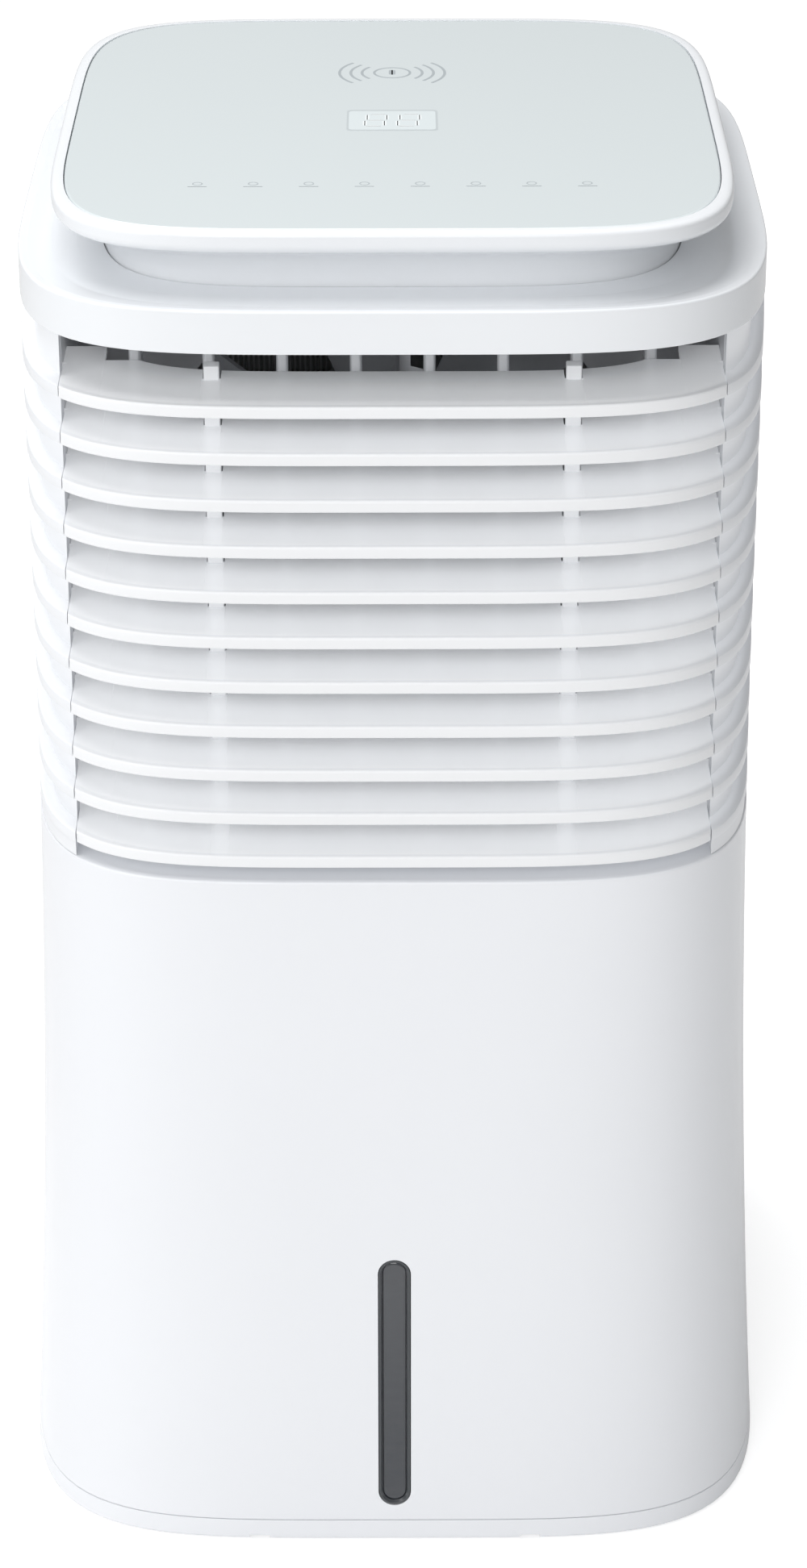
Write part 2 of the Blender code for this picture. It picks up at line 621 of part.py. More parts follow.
def pipes():
    """Two tubes from the compressor's top, past the duct, to the sides of the coils."""
    top = COMPRESSOR_TOP + 4 * CLEARANCE
    bend = COMPRESSOR_TOP + 9.5
    side = COIL_HALF_WIDTH + 2 * CLEARANCE
    inlet = (COMPRESSOR_X + 12, COMPRESSOR_Y - 8)
    rise = [(*inlet, top), (*inlet, top + 2), (*inlet, top + 5)]
    middle = (EVAPORATOR_FRONT + EVAPORATOR_REAR) / 2 + 1
    across = [(-12, 8, bend), (30, 26, bend), (72, 46, bend + 5), (94, 54, bend + 21), (108, 72, bend + 41)]
    level = COIL_LOW + 40
    pipe("suction_line", rise + across + [(110, middle - 14, level - 6), (108, middle, level),
                                          (side + 3, middle, level), (side, middle, level)], SUCTION_RADIUS)
    outlet = (COMPRESSOR_X - 8, COMPRESSOR_Y + 10)
    rise = [(*outlet, top), (*outlet, top + 2), (*outlet, top + 5)]
    middle = (CONDENSER_FRONT + CONDENSER_REAR) / 2
    across = [(-58, 30, bend), (-78, 46, bend + 5), (-98, 54, bend + 25), (-108, 64, bend + 45)]
    pipe("discharge_line", rise + across + [(-107, middle, level), (-side - 3, middle, level),
                                            (-side, middle, level)], DISCHARGE_RADIUS)


def drip_tray():
    low, high = LOWER_TOP + CLEARANCE, COIL_LOW - CLEARANCE
    half = TRAY_HALF_WIDTH
    piece = from_rings("drip_tray", box_rings((-half, TRAY_FRONT, low), (half, TRAY_REAR, high)), GREY)
    stem = [(DECK_HEIGHT - 4, SPOUT_RADIUS), (low + 1, SPOUT_RADIUS)]
    add(piece, [turned("Z", (SPOUT_X, SPOUT_Y), stem, 12)], "spout")
    inner = half - TRAY_WALL
    cut(piece, [box_rings((-inner, TRAY_FRONT + TRAY_WALL, low + TRAY_FLOOR),
                          (inner, TRAY_REAR - TRAY_WALL, high + CUT_PAST))], "basin")
    bore = SPOUT_RADIUS - SPOUT_WALL
    cut(piece, [turned("Z", (SPOUT_X, SPOUT_Y), [(DECK_HEIGHT - 9, bore), (low + 4, bore)], 12)], "bore")
    return piece


# ---- fan ----
def fan_shroud():
    front = FRAME_REAR + CLEARANCE
    rear = front + SHROUD_THICKNESS
    half = SHROUD_HALF_WIDTH
    piece = from_rings("fan_shroud", box_rings((-half, front, LOUVRE_LOW), (half, rear, LOUVRE_TOP)), GREY)
    centre = (0, FAN_HEIGHT)
    outer = DUCT_RADIUS + WALL
    add(piece, [turned("Y", centre, [(front + 1, outer), (DUCT_REAR, outer)], 40)], "ring")
    duct = [(front - CUT_PAST, DUCT_RADIUS), (DUCT_REAR + CUT_PAST, DUCT_RADIUS)]
    cut(piece, [turned("Y", centre, duct, 40)], "duct")
    return piece


def fan_motor():
    centre = (0, FAN_HEIGHT)
    front = DUCT_REAR + CLEARANCE
    rear = front + SHROUD_THICKNESS
    face = rear + CLEARANCE
    stations = [(-10, SHAFT_RADIUS), (face, SHAFT_RADIUS), (face, MOTOR_RADIUS),
                (face + MOTOR_LENGTH - 6, MOTOR_RADIUS), (face + MOTOR_LENGTH, MOTOR_RADIUS - 8)]
    from_rings("fan_motor", turned("Y", centre, stations, 24), STEEL)
    plate = turned("Y", centre, [(front, BRACKET_RADIUS), (rear, BRACKET_RADIUS)], 24)
    bracket = from_rings("motor_bracket", plate, STEEL)
    reach, half = DUCT_RADIUS + WALL, ARM_HALF_WIDTH
    level = box_rings((-reach, front, FAN_HEIGHT - half), (reach, rear, FAN_HEIGHT + half))
    upright = box_rings((-half, front, FAN_HEIGHT - reach), (half, rear, FAN_HEIGHT + reach))
    add(bracket, [level], "level_arm")
    add(bracket, [upright], "upright_arm")
    bore = [(front - CUT_PAST, BRACKET_BORE), (rear + CUT_PAST, BRACKET_BORE)]
    cut(bracket, [turned("Y", centre, bore, 24)], "bore")


def fan_blade(turn):
    """One twisted blade, from inside the hub to the tip."""
    rings = []
    for radius, pitch in ((HUB_RADIUS - 3, 50.0), (FAN_RADIUS * 0.6, 38.0), (FAN_RADIUS, 28.0)):
        lean, half = math.radians(pitch), 6.0 + radius * 0.22
        ring = []
        for along, thick in ((-half, -0.9), (half, -0.9), (half, 0.9), (-half, 0.9)):
            across = along * math.cos(lean) - thick * math.sin(lean)
            deep = along * math.sin(lean) + thick * math.cos(lean)
            around = turn + across / radius
            deep = max(FAN_FRONT + 2, min(FAN_BACK - 2, deep - 8))
            ring.append((radius * math.cos(around), deep, FAN_HEIGHT + radius * math.sin(around)))
        rings.append(ring)
    return rings


def fan_wheel():
    centre = (0, FAN_HEIGHT)
    mesh_data = bmesh.new()
    stations = [(FAN_FRONT, HUB_RADIUS - 9), (FAN_FRONT + 3, HUB_RADIUS - 2), (FAN_FRONT + 6, HUB_RADIUS),
                (FAN_BACK, HUB_RADIUS)]
    add_rings(mesh_data, turned("Y", centre, stations, 28))
    piece = finish("fan_wheel", mesh_data, GREY, (0, 0, FAN_HEIGHT))
    blades = [fan_blade(2 * math.pi * index / FAN_BLADES) for index in range(FAN_BLADES)]
    add(piece, blades, "blades")
    bore = SHAFT_RADIUS + CLEARANCE
    cut(piece, [turned("Y", centre, [(-14, bore), (FAN_BACK + CUT_PAST, bore)], 24)], "bore")
    return piece


# ---- upper body ----
def upper_shell():
    heights = [LOUVRE_LOW, (LOUVRE_LOW + FLARE_TOP) / 2, FLARE_TOP, LOUVRE_TOP]
    outer = [body_ring(z) for z in heights]
    inner = [body_ring(z, WALL) for z in reversed(heights)]
    piece = from_rings("upper_shell", outer + inner, WHITE, closed=True)
    front = CHEEK_END + CLEARANCE
    cut(piece, [box_rings((-OUTSIDE, -OUTSIDE, LOUVRE_LOW - CUT_PAST),
                          (OUTSIDE, front, LOUVRE_TOP + CUT_PAST))], "front")
    gap = GRILLE_HALF_WIDTH + CLEARANCE
    rear = box_rings((-gap, EVAPORATOR_FRONT, GRILLE_LOW - CLEARANCE), (gap, OUTSIDE, GRILLE_TOP + CLEARANCE))
    cut(piece, [rear], "rear_opening")
    return piece


def rear_grille():
    heights = [GRILLE_LOW, (GRILLE_LOW + FLARE_TOP) / 2, FLARE_TOP, GRILLE_TOP]
    outer = [body_ring(z) for z in heights]
    inner = [body_ring(z, WALL) for z in reversed(heights)]
    mesh_data = bmesh.new()
    add_rings(mesh_data, outer + inner, closed=True)
    piece = finish("rear_grille", mesh_data, WHITE)
    width = GRILLE_HALF_WIDTH
    keep(piece, [box_rings((-width, EVAPORATOR_FRONT, GRILLE_LOW - CUT_PAST),
                           (width, OUTSIDE, GRILLE_TOP + CUT_PAST))])
    pitch = (GRILLE_TOP - GRILLE_LOW - 2 * GRILLE_MARGIN - 4) / GRILLE_SLOTS
    half = pitch * 0.3
    slots = []
    for index in range(GRILLE_SLOTS):
        z = GRILLE_LOW + GRILLE_MARGIN + 2 + pitch * (index + 0.5)
        slots.append(box_rings((-width + GRILLE_MARGIN, EVAPORATOR_FRONT, z - half),
                               (width - GRILLE_MARGIN, OUTSIDE, z + half)))
    cut(piece, slots, "slots")
    return piece


def filter_screen():
    width = GRILLE_HALF_WIDTH - FILTER_MARGIN
    low, high = GRILLE_LOW + FILTER_FRAME, GRILLE_TOP - FILTER_FRAME
    rear = edge_y(width, BODY_HALF_WIDTH - WALL, BODY_HALF_DEPTH - WALL) - CLEARANCE
    front = EVAPORATOR_REAR + 5
    piece = from_rings("filter_screen", box_rings((-width, front, low), (width, rear, high)), MESH_GREY)
    step_x = 2 * (width - FILTER_FRAME) / FILTER_COLUMNS
    step_z = (high - low - 2 * FILTER_FRAME) / FILTER_ROWS
    pockets = []
    for column in range(FILTER_COLUMNS):
        for row in range(FILTER_ROWS):
            x, z = -width + FILTER_FRAME + step_x * column, low + FILTER_FRAME + step_z * row
            pockets.append(box_rings((x + FILTER_RIB, front + FILTER_SHEET, z + FILTER_RIB),
                                     (x + step_x - FILTER_RIB, OUTSIDE, z + step_z - FILTER_RIB)))
    cut(piece, pockets, "pockets")
    return piece


def reach(angle, depth, z):
    """Point at a depth under the body's skin, on a ray from the cheek's inner corner."""
    width, half = half_width(z), half_depth(z)
    near, far = 0.0, 120.0
    for _ in range(40):
        middle = (near + far) / 2
        x = CHEEK_START + middle * math.cos(angle)
        y = CHEEK_END + middle * math.sin(angle)
        inside = abs(x / width) ** BODY_POWER + abs(y / half) ** BODY_POWER < 1.0
        near, far = (middle, far) if inside else (near, middle)
    return CHEEK_START + (near - depth) * math.cos(angle), CHEEK_END + (near - depth) * math.sin(angle)


def cheek(name, side):
    """Corner wall beside the louvres; the slots between the lips run out into it."""
    slot = BLADE_PITCH - LIP_HEIGHT
    grid = []
    for angle in (-90, -85.3, -80, -70, -60, -50, -40, -30, -22, -10, 0):
        share = 1 + angle / 90
        taper = min(1.0, share / CHEEK_CLOSE)
        groove = CHEEK_GROOVE * (1.0 - taper ** 1.6)
        rows = [(LOUVRE_LOW, 0.0)]
        for index in range(BLADE_COUNT):
            low = BLADE_LOWEST + BLADE_PITCH * index
            room = slot if index < BLADE_COUNT - 1 else LOUVRE_TOP - low - LIP_HEIGHT
            bottom = LIP_HEIGHT + 0.6 * room * taper ** 2
            top = LIP_HEIGHT + room - CLEARANCE - 0.3 * room * taper ** 2
            rows += [(low, 0.0), (low + bottom, 0.0), (low + bottom + 0.2, groove),
                     (low + top - 0.2, groove), (low + top, 0.0)]
        rows.append((LOUVRE_TOP, 0.0))
        turn = math.radians(angle)
        line = [(*reach(turn, depth, z), z) for z, depth in rows]
        inner = max(groove + CHEEK_WALL, CHEEK_INSET)
        line += [(*reach(turn, inner, z), z) for z in (LOUVRE_TOP, LOUVRE_LOW)]
        grid.append([(side * x, y, z) for x, y, z in line])
    return from_rings(name, grid, WHITE)


def outlet_frame():
    """Rectangular tube behind the louvres; it carries the pins of the blades and the vanes."""
    half = FRAME_HALF_WIDTH
    piece = from_rings("outlet_frame", box_rings((-half, FRAME_FRONT, LOUVRE_LOW),
                                                 (half, FRAME_REAR, LOUVRE_TOP)), GREY)
    inner = half - FRAME_WALL
    cut(piece, [box_rings((-inner, FRAME_FRONT - CUT_PAST, LOUVRE_LOW + FRAME_WALL),
                          (inner, FRAME_REAR + CUT_PAST, LOUVRE_TOP - FRAME_WALL))], "inside")
    cut(piece, [box_rings((-inner, FRAME_FRONT - CUT_PAST, LOUVRE_LOW - CUT_PAST),
                          (inner, FRAME_SHELF, LOUVRE_TOP + CUT_PAST))], "mouth")
    hole = PIN_RADIUS + RUNNING
    ends = [(-half - CUT_PAST, hole), (half + CUT_PAST, hole)]
    cut(piece, [turned("X", (PIVOT_Y, pivot_height(index)), ends, 8) for index in range(BLADE_COUNT)],
        "blade_pins")
    ends = [(LOUVRE_LOW - CUT_PAST, hole), (LOUVRE_TOP + CUT_PAST, hole)]
    cut(piece, [turned("Z", (vane_x(index), VANE_PIVOT_Y), ends, 8) for index in range(VANE_COUNT)],
        "vane_pins")
    return piece


# ---- louvre blades and their link bars ----
def pivot_height(index):
    return BLADE_LOWEST + BLADE_PITCH * index + LIP_HEIGHT - BLADE_REAR_THICKNESS / 2


def blade_rear(x):
    """Back edge of a blade: a flatter curve than the front, with ears at both ends."""
    if abs(x) > BLADE_EAR_X:
        return BLADE_EAR_REAR
    curve = edge_y(x, BLADE_REAR_HALF_WIDTH, BLADE_REAR_DEPTH, BLADE_REAR_POWER)
    return min(-curve, PIVOT_Y + BLADE_BEHIND_PIVOT)


def louvre_blade(index):
    low = BLADE_LOWEST + BLADE_PITCH * index
    top = low + LIP_HEIGHT
    under = top - BLADE_REAR_THICKNESS
    middle = 12
    places = [BLADE_HALF_LENGTH * math.copysign(abs(step / middle) ** 0.75, step)
              for step in range(-middle, middle + 1)]
    places += [side * (BLADE_EAR_X + step) for side in (-1, 1) for step in (-0.1, 0.1)]
    rings = []
    for x in sorted(places):
        front = -edge_y(x, BODY_HALF_WIDTH, BODY_HALF_DEPTH)
        rear = blade_rear(x)
        rings.append([(x, front, low), (x, rear, under), (x, rear, top), (x, front, top)])
    mesh_data = bmesh.new()
    add_rings(mesh_data, rings)
    height = pivot_height(index)
    piece = finish(f"louvre_blade_{index + 1:02d}", mesh_data, LOUVRE_WHITE, (0, PIVOT_Y, height))
    notch = BAR_WIDTH / 2 + BAR_SIDE_GAP
    front = BAR_Y - BAR_DEPTH / 2 - BAR_FRONT_GAP
    cut(piece, [box_rings((side * BAR_X - notch, front, low - CUT_PAST),
                          (side * BAR_X + notch, VANE_FRONT, top + CUT_PAST)) for side in (-1, 1)], "notches")
    pins = []
    for side in (-1, 1):
        ends = sorted((side * (BLADE_HALF_LENGTH - 1), side * (BLADE_HALF_LENGTH + FRAME_WALL)))
        pins.append(turned("X", (PIVOT_Y, height), [(end, BLADE_PIN_RADIUS) for end in ends], 8))
        crank = [side * BAR_X - notch - CRANK_ROOT, side * BAR_X + notch + CRANK_ROOT]
        pins.append(turned("X", (BAR_CRANK_Y, height), [(end, CRANK_RADIUS) for end in crank], 8))
    add(piece, pins, "pins")
    return piece


def link_bar(name, side):
    low = pivot_height(0) - BAR_BELOW
    high = pivot_height(BLADE_COUNT - 1) + BAR_ABOVE
    middle = pivot_height(BLADE_COUNT // 2)
    x, half_x, half_y = side * BAR_X, BAR_WIDTH / 2, BAR_DEPTH / 2
    mesh_data = bmesh.new()
    add_rings(mesh_data, box_rings((x - half_x, BAR_Y - half_y, low), (x + half_x, BAR_Y + half_y, high)))
    piece = finish(name, mesh_data, LOUVRE_WHITE, (x, BAR_CRANK_Y, middle))
    ends = [(x - BAR_WIDTH, CRANK_HOLE), (x + BAR_WIDTH, CRANK_HOLE)]
    cut(piece, [turned("X", (BAR_CRANK_Y, pivot_height(index)), ends, 8) for index in range(BLADE_COUNT)],
        "pin_holes")
    return piece


# ---- upright vanes ----
def vane_x(index):
    return VANE_PITCH * (index - (VANE_COUNT - 1) / 2)


def vane(index):
    x = vane_x(index)
    half, nose = VANE_THICKNESS / 2, VANE_THICKNESS
    outline = [(x - half * 0.6, VANE_REAR), (x - half, VANE_REAR - 6), (x - half, VANE_FRONT + 9),
               (x - nose, VANE_FRONT + 2), (x - nose * 0.6, VANE_FRONT), (x + nose * 0.6, VANE_FRONT),
               (x + nose, VANE_FRONT + 2), (x + half, VANE_FRONT + 9), (x + half, VANE_REAR - 6),
               (x + half * 0.6, VANE_REAR)]
    mesh_data = bmesh.new()
    add_rings(mesh_data, [[(px, py, z) for px, py in outline] for z in (VANE_LOW, VANE_TOP)])
    piece = finish(f"vane_{index + 1}", mesh_data, GREY, (x, VANE_PIVOT_Y, VANE_LOW))
    link_top = LINK_LOW + VANE_LINK_HEIGHT
    cut(piece, [box_rings((x - CUT_PAST, VANE_CRANK_Y - VANE_NOTCH_FRONT, LINK_LOW - RUNNING),
                          (x + CUT_PAST, VANE_REAR + CUT_PAST, link_top + RUNNING))], "notch")
    foot, head = VANE_LOW - FRAME_WALL, VANE_TOP + FRAME_WALL
    pins = [turned("Z", (x, VANE_PIVOT_Y), [(foot, PIN_RADIUS), (VANE_LOW + 1, PIN_RADIUS)], 8),
            turned("Z", (x, VANE_PIVOT_Y), [(VANE_TOP - 1, PIN_RADIUS), (head, PIN_RADIUS)], 8),
            turned("Z", (x, VANE_CRANK_Y), [(LINK_LOW - CRANK_ROOT, CRANK_RADIUS),
                                            (link_top + CRANK_ROOT, CRANK_RADIUS)], 8)]
    for number, pin in enumerate(pins):
        add(piece, [pin], f"pin_{number}")
    return piece


def vane_link():
    middle = vane_x(VANE_COUNT // 2 - 1)
    end = vane_x(VANE_COUNT - 1) + VANE_LINK_END
    high = LINK_LOW + VANE_LINK_HEIGHT
    mesh_data = bmesh.new()
    add_rings(mesh_data, box_rings((-end, VANE_CRANK_Y - VANE_LINK_HALF, LINK_LOW),
                                   (end, VANE_CRANK_Y + VANE_LINK_HALF, high)))
    piece = finish("vane_link", mesh_data, GREY, (middle, VANE_CRANK_Y, LINK_LOW))
    ends = [(LINK_LOW - CUT_PAST, CRANK_HOLE), (high + CUT_PAST, CRANK_HOLE)]
    cut(piece, [turned("Z", (vane_x(index), VANE_CRANK_Y), ends, 8) for index in range(VANE_COUNT)],
        "pin_holes")
    return piece


def vane_motor():
    centre = (vane_x(VANE_COUNT // 2 - 1), VANE_PIVOT_Y)
    top = LOUVRE_LOW - CLEARANCE
    low = top - VANE_MOTOR_HEIGHT
    stations = [(low, VANE_MOTOR_RADIUS - 1), (low + 1, VANE_MOTOR_RADIUS), (top, VANE_MOTOR_RADIUS)]
    from_rings("vane_motor", turned("Z", centre, stations, 20), STEEL)


# ---- top ----
def collar():
    """Band round the body; its top is dished and meets the neck."""
    neck = NECK_INSET - CLEARANCE
    rings = [head_ring(COLLAR_LOW, 0), head_ring(COLLAR_TOP - 0.7, 0), head_ring(COLLAR_TOP, 0.7),
             head_ring(COLLAR_TOP - 0.6, 3.5), head_ring(COLLAR_TOP - 2.4, 12),
             head_ring(COLLAR_TOP - 2.4, 20), head_ring(COLLAR_TOP - 1.3, neck),
             head_ring(COLLAR_TOP - NECK_FOOT, neck),
             head_ring(COLLAR_TOP - NECK_FOOT - 0.5, 12), head_ring(COLLAR_TOP - 4.5, WALL + 1),
             head_ring(COLLAR_LOW, WALL)]
    return from_rings("collar", rings, WHITE, closed=True)


def head_housing():
    low = COLLAR_TOP - NECK_FOOT
    seat = GLASS_INSET - CLEARANCE
    shelf = seat + SEAT_WIDTH
    inside = NECK_INSET + WALL
    span = NECK_INSET - RIM_INSET
    rings = [head_ring(low, NECK_INSET)]
    for drop, share in NECK_PROFILE:
        rings.append(head_ring(GLASS_TOP - drop, NECK_INSET - span * share, BODY_POWER + 0.4 * share))
    rings += [head_ring(GLASS_TOP, seat, GLASS_POWER), head_ring(SEAT_HEIGHT, seat, GLASS_POWER),
              head_ring(SEAT_HEIGHT, shelf, GLASS_POWER), head_ring(SEAT_HEIGHT - 3, shelf + 1, GLASS_POWER),
              head_ring(GLASS_TOP - 12.6, inside - 1), head_ring(GLASS_TOP - 20.6, inside),
              head_ring(low, inside)]
    return from_rings("head_housing", rings, WHITE, closed=True)


def glass_panel():
    rings = [head_ring(GLASS_TOP - GLASS_THICKNESS, GLASS_INSET, GLASS_POWER),
             head_ring(GLASS_TOP - GLASS_EDGE, GLASS_INSET, GLASS_POWER),
             head_ring(GLASS_TOP, GLASS_INSET + GLASS_EDGE, GLASS_POWER)]
    return from_rings("glass_panel", rings, GLASS)


def electronics():
    from_rings("display_board", box_rings((-BOARD_HALF_WIDTH, BOARD_FRONT, SEAT_HEIGHT - BOARD_THICKNESS),
                                          (BOARD_HALF_WIDTH, BOARD_REAR, SEAT_HEIGHT)), BOARD)
    low = SEAT_HEIGHT - COIL_RING_HEIGHT
    ring = [(low, COIL_RING_OUTER), (SEAT_HEIGHT, COIL_RING_OUTER), (SEAT_HEIGHT, COIL_RING_INNER),
            (low, COIL_RING_INNER)]
    from_rings("charging_coil", turned("Z", (0, COIL_RING_Y), ring, 28), COPPER, closed=True)


# ---- sockets and plugs at the back ----
def power_inlet():
    rear = edge_y(INLET_X, half_width(INLET_Z), half_depth(INLET_Z))
    front = rear - INLET_DEPTH
    half_x, half_z = INLET_HALF_WIDTH, INLET_HALF_HEIGHT
    piece = from_rings("power_inlet", box_rings((INLET_X - half_x, front, INLET_Z - half_z),
                                                (INLET_X + half_x, rear, INLET_Z + half_z)), DARK)
    floor = front + RECESS_FLOOR
    half_x, half_z = RECESS_HALF_WIDTH, RECESS_HALF_HEIGHT
    cut(piece, [box_rings((INLET_X - half_x, floor, INLET_Z - half_z),
                          (INLET_X + half_x, rear + CUT_PAST, INLET_Z + half_z))], "recess")
    add(piece, [turned("Y", (INLET_X + side * CONTACT_X, INLET_Z),
                       [(floor - 2, CONTACT_RADIUS), (rear - 5, CONTACT_RADIUS)], 10) for side in (-1, 1)],
        "contacts")
    return piece


def drain_bung():
    rear = edge_y(BUNG_X, half_width(BUNG_Z), half_depth(BUNG_Z)) + 1.5
    face = rear + CLEARANCE
    stations = [(rear - BUNG_LENGTH, BUNG_RADIUS - 1.5), (rear - 6, BUNG_RADIUS), (face, BUNG_RADIUS),
                (face, BUNG_FLANGE), (rear + 3, BUNG_FLANGE)]
    mesh_data = bmesh.new()
    add_rings(mesh_data, turned("Y", (BUNG_X, BUNG_Z), stations, 24))
    return finish("drain_bung", mesh_data, RUBBER, (BUNG_X, rear, BUNG_Z))


def main():
    base_tray()
    feet()
    lower_shell()
    level_window()
    mid_deck()
    tank()
    tank_lid()
    tank_float()
    compressor()
    control_box()
    coil("condenser", CONDENSER_FRONT, CONDENSER_REAR)
    coil("evaporator", EVAPORATOR_FRONT, EVAPORATOR_REAR)
    pipes()
    drip_tray()
    fan_shroud()
    fan_motor()
    fan_wheel()
    upper_shell()
    rear_grille()
    filter_screen()
    cheek("cheek_left", -1)
    cheek("cheek_right", 1)
    outlet_frame()
    for index in range(BLADE_COUNT):
        louvre_blade(index)
    link_bar("link_bar_left", -1)
    link_bar("link_bar_right", 1)
    for index in range(VANE_COUNT):
        vane(index)
    vane_link()
    vane_motor()
    collar()
    head_housing()
    glass_panel()
    electronics()
    power_inlet()
    drain_bung()


for item in list(bpy.data.objects):
    bpy.data.objects.remove(item)
main()
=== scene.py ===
# Dehumidifier: the looks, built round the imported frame. Metres, +Z up, front towards -Y.
import math

import bmesh
import bpy
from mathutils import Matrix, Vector


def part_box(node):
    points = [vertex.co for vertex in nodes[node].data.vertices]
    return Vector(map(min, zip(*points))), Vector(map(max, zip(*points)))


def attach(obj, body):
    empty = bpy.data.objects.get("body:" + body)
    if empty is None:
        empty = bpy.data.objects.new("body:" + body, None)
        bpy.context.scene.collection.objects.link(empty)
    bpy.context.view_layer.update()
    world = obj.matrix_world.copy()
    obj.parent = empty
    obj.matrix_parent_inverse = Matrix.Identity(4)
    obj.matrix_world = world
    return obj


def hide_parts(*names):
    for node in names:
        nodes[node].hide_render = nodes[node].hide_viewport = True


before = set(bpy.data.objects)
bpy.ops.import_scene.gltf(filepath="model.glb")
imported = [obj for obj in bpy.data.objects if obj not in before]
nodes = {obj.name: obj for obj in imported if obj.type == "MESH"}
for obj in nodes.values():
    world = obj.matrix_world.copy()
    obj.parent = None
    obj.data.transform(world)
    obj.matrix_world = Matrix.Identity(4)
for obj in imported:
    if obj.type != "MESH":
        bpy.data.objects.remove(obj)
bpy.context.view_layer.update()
print("frame: loaded", len(nodes), "nodes")

mm = 0.001


# ---- the body's plan: a rounded square that flares towards the foot
baseLow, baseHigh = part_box("base_tray")
collarLow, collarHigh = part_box("collar")
plan = {
    "straightHalf": collarHigh.x,
    "footHalf": baseHigh.x,
    "depthRatio": collarHigh.y / collarHigh.x,
    "flareTop": 380 * mm,
    "flarePower": 2.05,
    "power": 4.6,
    "around": 176,
}


# ---- shader maths: a socket that can be used in Python expressions
class Signal:
    def __init__(self, paint, socket):
        self.paint, self.socket = paint, socket

    def calc(self, operation, *others, flip=False, clamp=False):
        values = [self, *others]
        if flip:
            values.reverse()
        settings = {"operation": operation, "use_clamp": clamp}
        return self.paint.node("ShaderNodeMath", settings, dict(enumerate(values)))

    def __add__(self, other): return self.calc("ADD", other)
    def __radd__(self, other): return self.calc("ADD", other)
    def __sub__(self, other): return self.calc("SUBTRACT", other)
    def __rsub__(self, other): return self.calc("SUBTRACT", other, flip=True)
    def __mul__(self, other): return self.calc("MULTIPLY", other)
    def __rmul__(self, other): return self.calc("MULTIPLY", other)
    def __truediv__(self, other): return self.calc("DIVIDE", other)
    def __rtruediv__(self, other): return self.calc("DIVIDE", other, flip=True)
    def __pow__(self, other): return self.calc("POWER", other)
    def __gt__(self, other): return self.calc("GREATER_THAN", other)
    def __lt__(self, other): return self.calc("LESS_THAN", other)

    def smooth(self, low, high):
        return self.paint.node("ShaderNodeMapRange", {"interpolation_type": "SMOOTHSTEP"},
                               {"Value": self, "From Min": low, "From Max": high})


class Paint:
    def __init__(self, name):
        self.material = bpy.data.materials.new(name)
        self.material.use_nodes = True
        self.tree = self.material.node_tree
        self.shader = self.tree.nodes["Principled BSDF"]

    # settings are set first, then the sockets get a value or a link
    def node(self, kind, settings=None, sockets=None, output=0):
        made = self.tree.nodes.new(kind)
        for key, value in (settings or {}).items():
            if key == "stops":
                ramp = made.color_ramp
                while len(ramp.elements) < len(value):
                    ramp.elements.new(0.5)
                for element, (place, tone) in zip(ramp.elements, value):
                    element.position, element.color = place, (*tone, 1.0)
            else:
                setattr(made, key, value)
        for key, value in (sockets or {}).items():
            self.fill(made.inputs[key], value)
        return Signal(self, made.outputs[output])

    def fill(self, socket, value):
        if isinstance(value, Signal):
            self.tree.links.new(value.socket, socket)
        elif isinstance(value, tuple) and len(value) == 3 and socket.type == "RGBA":
            socket.default_value = (*value, 1.0)
        else:
            socket.default_value = value

    def set(self, **values):
        for name, value in values.items():
            label = {"color": "Base Color", "roughness": "Roughness", "metallic": "Metallic",
                     "coat": "Coat Weight", "coatRoughness": "Coat Roughness", "ior": "IOR",
                     "specular": "Specular IOR Level",
                     "transmission": "Transmission Weight", "alpha": "Alpha", "normal": "Normal",
                     "glow": "Emission Strength", "glowColor": "Emission Color",
                     "subsurface": "Subsurface Weight"}[name]
            self.fill(self.shader.inputs[label], value)
        return self.material

    def place(self, scale=(1, 1, 1)):
        here = self.node("ShaderNodeTexCoord", output=3)
        return self.node("ShaderNodeMapping", None, {"Vector": here, "Scale": scale})

    def axis(self, index):
        here = self.node("ShaderNodeTexCoord", output=3)
        return self.node("ShaderNodeSeparateXYZ", None, {"Vector": here}, index)

    def noise(self, scale, detail=3.0, roughness=0.5, stretch=(1, 1, 1)):
        return self.node("ShaderNodeTexNoise", None, {"Vector": self.place(stretch), "Scale": scale,
                                                      "Detail": detail, "Roughness": roughness})

    def mix(self, share, first, second):
        made = self.tree.nodes.new("ShaderNodeMix")
        made.data_type = "RGBA"
        for index, value in ((0, share), (6, first), (7, second)):
            self.fill(made.inputs[index], value)
        return Signal(self, made.outputs[2])

    def bump(self, height, strength, distance=0.0002, normal=None):
        sockets = {"Height": height, "Strength": strength, "Distance": distance}
        if normal is not None:
            sockets["Normal"] = normal
        return self.node("ShaderNodeBump", None, sockets)


def shade(tone, factor):
    return tuple(min(1.0, channel * factor) for channel in tone)


# Moulded gloss: faint cloudiness, a fine spark-eroded skin and soft waviness from the mould
def mouldedPlastic(name, tone, roughness, skin=0.06, skinScale=2600, wave=0.05, coat=0.0, specular=0.5):
    paint = Paint(name)
    cloud = paint.noise(9, 2)
    grain = paint.noise(skinScale, 2)
    ripple = paint.noise(26, 1)
    wavy = paint.bump(ripple, wave, 0.0006)
    return paint.set(color=paint.mix(cloud, shade(tone, 0.985), shade(tone, 1.012)),
                     roughness=cloud * 0.05 + (roughness - 0.025) + grain * 0.03,
                     coat=coat, coatRoughness=0.08, specular=specular,
                     normal=paint.bump(grain, skin, 0.00004, wavy))


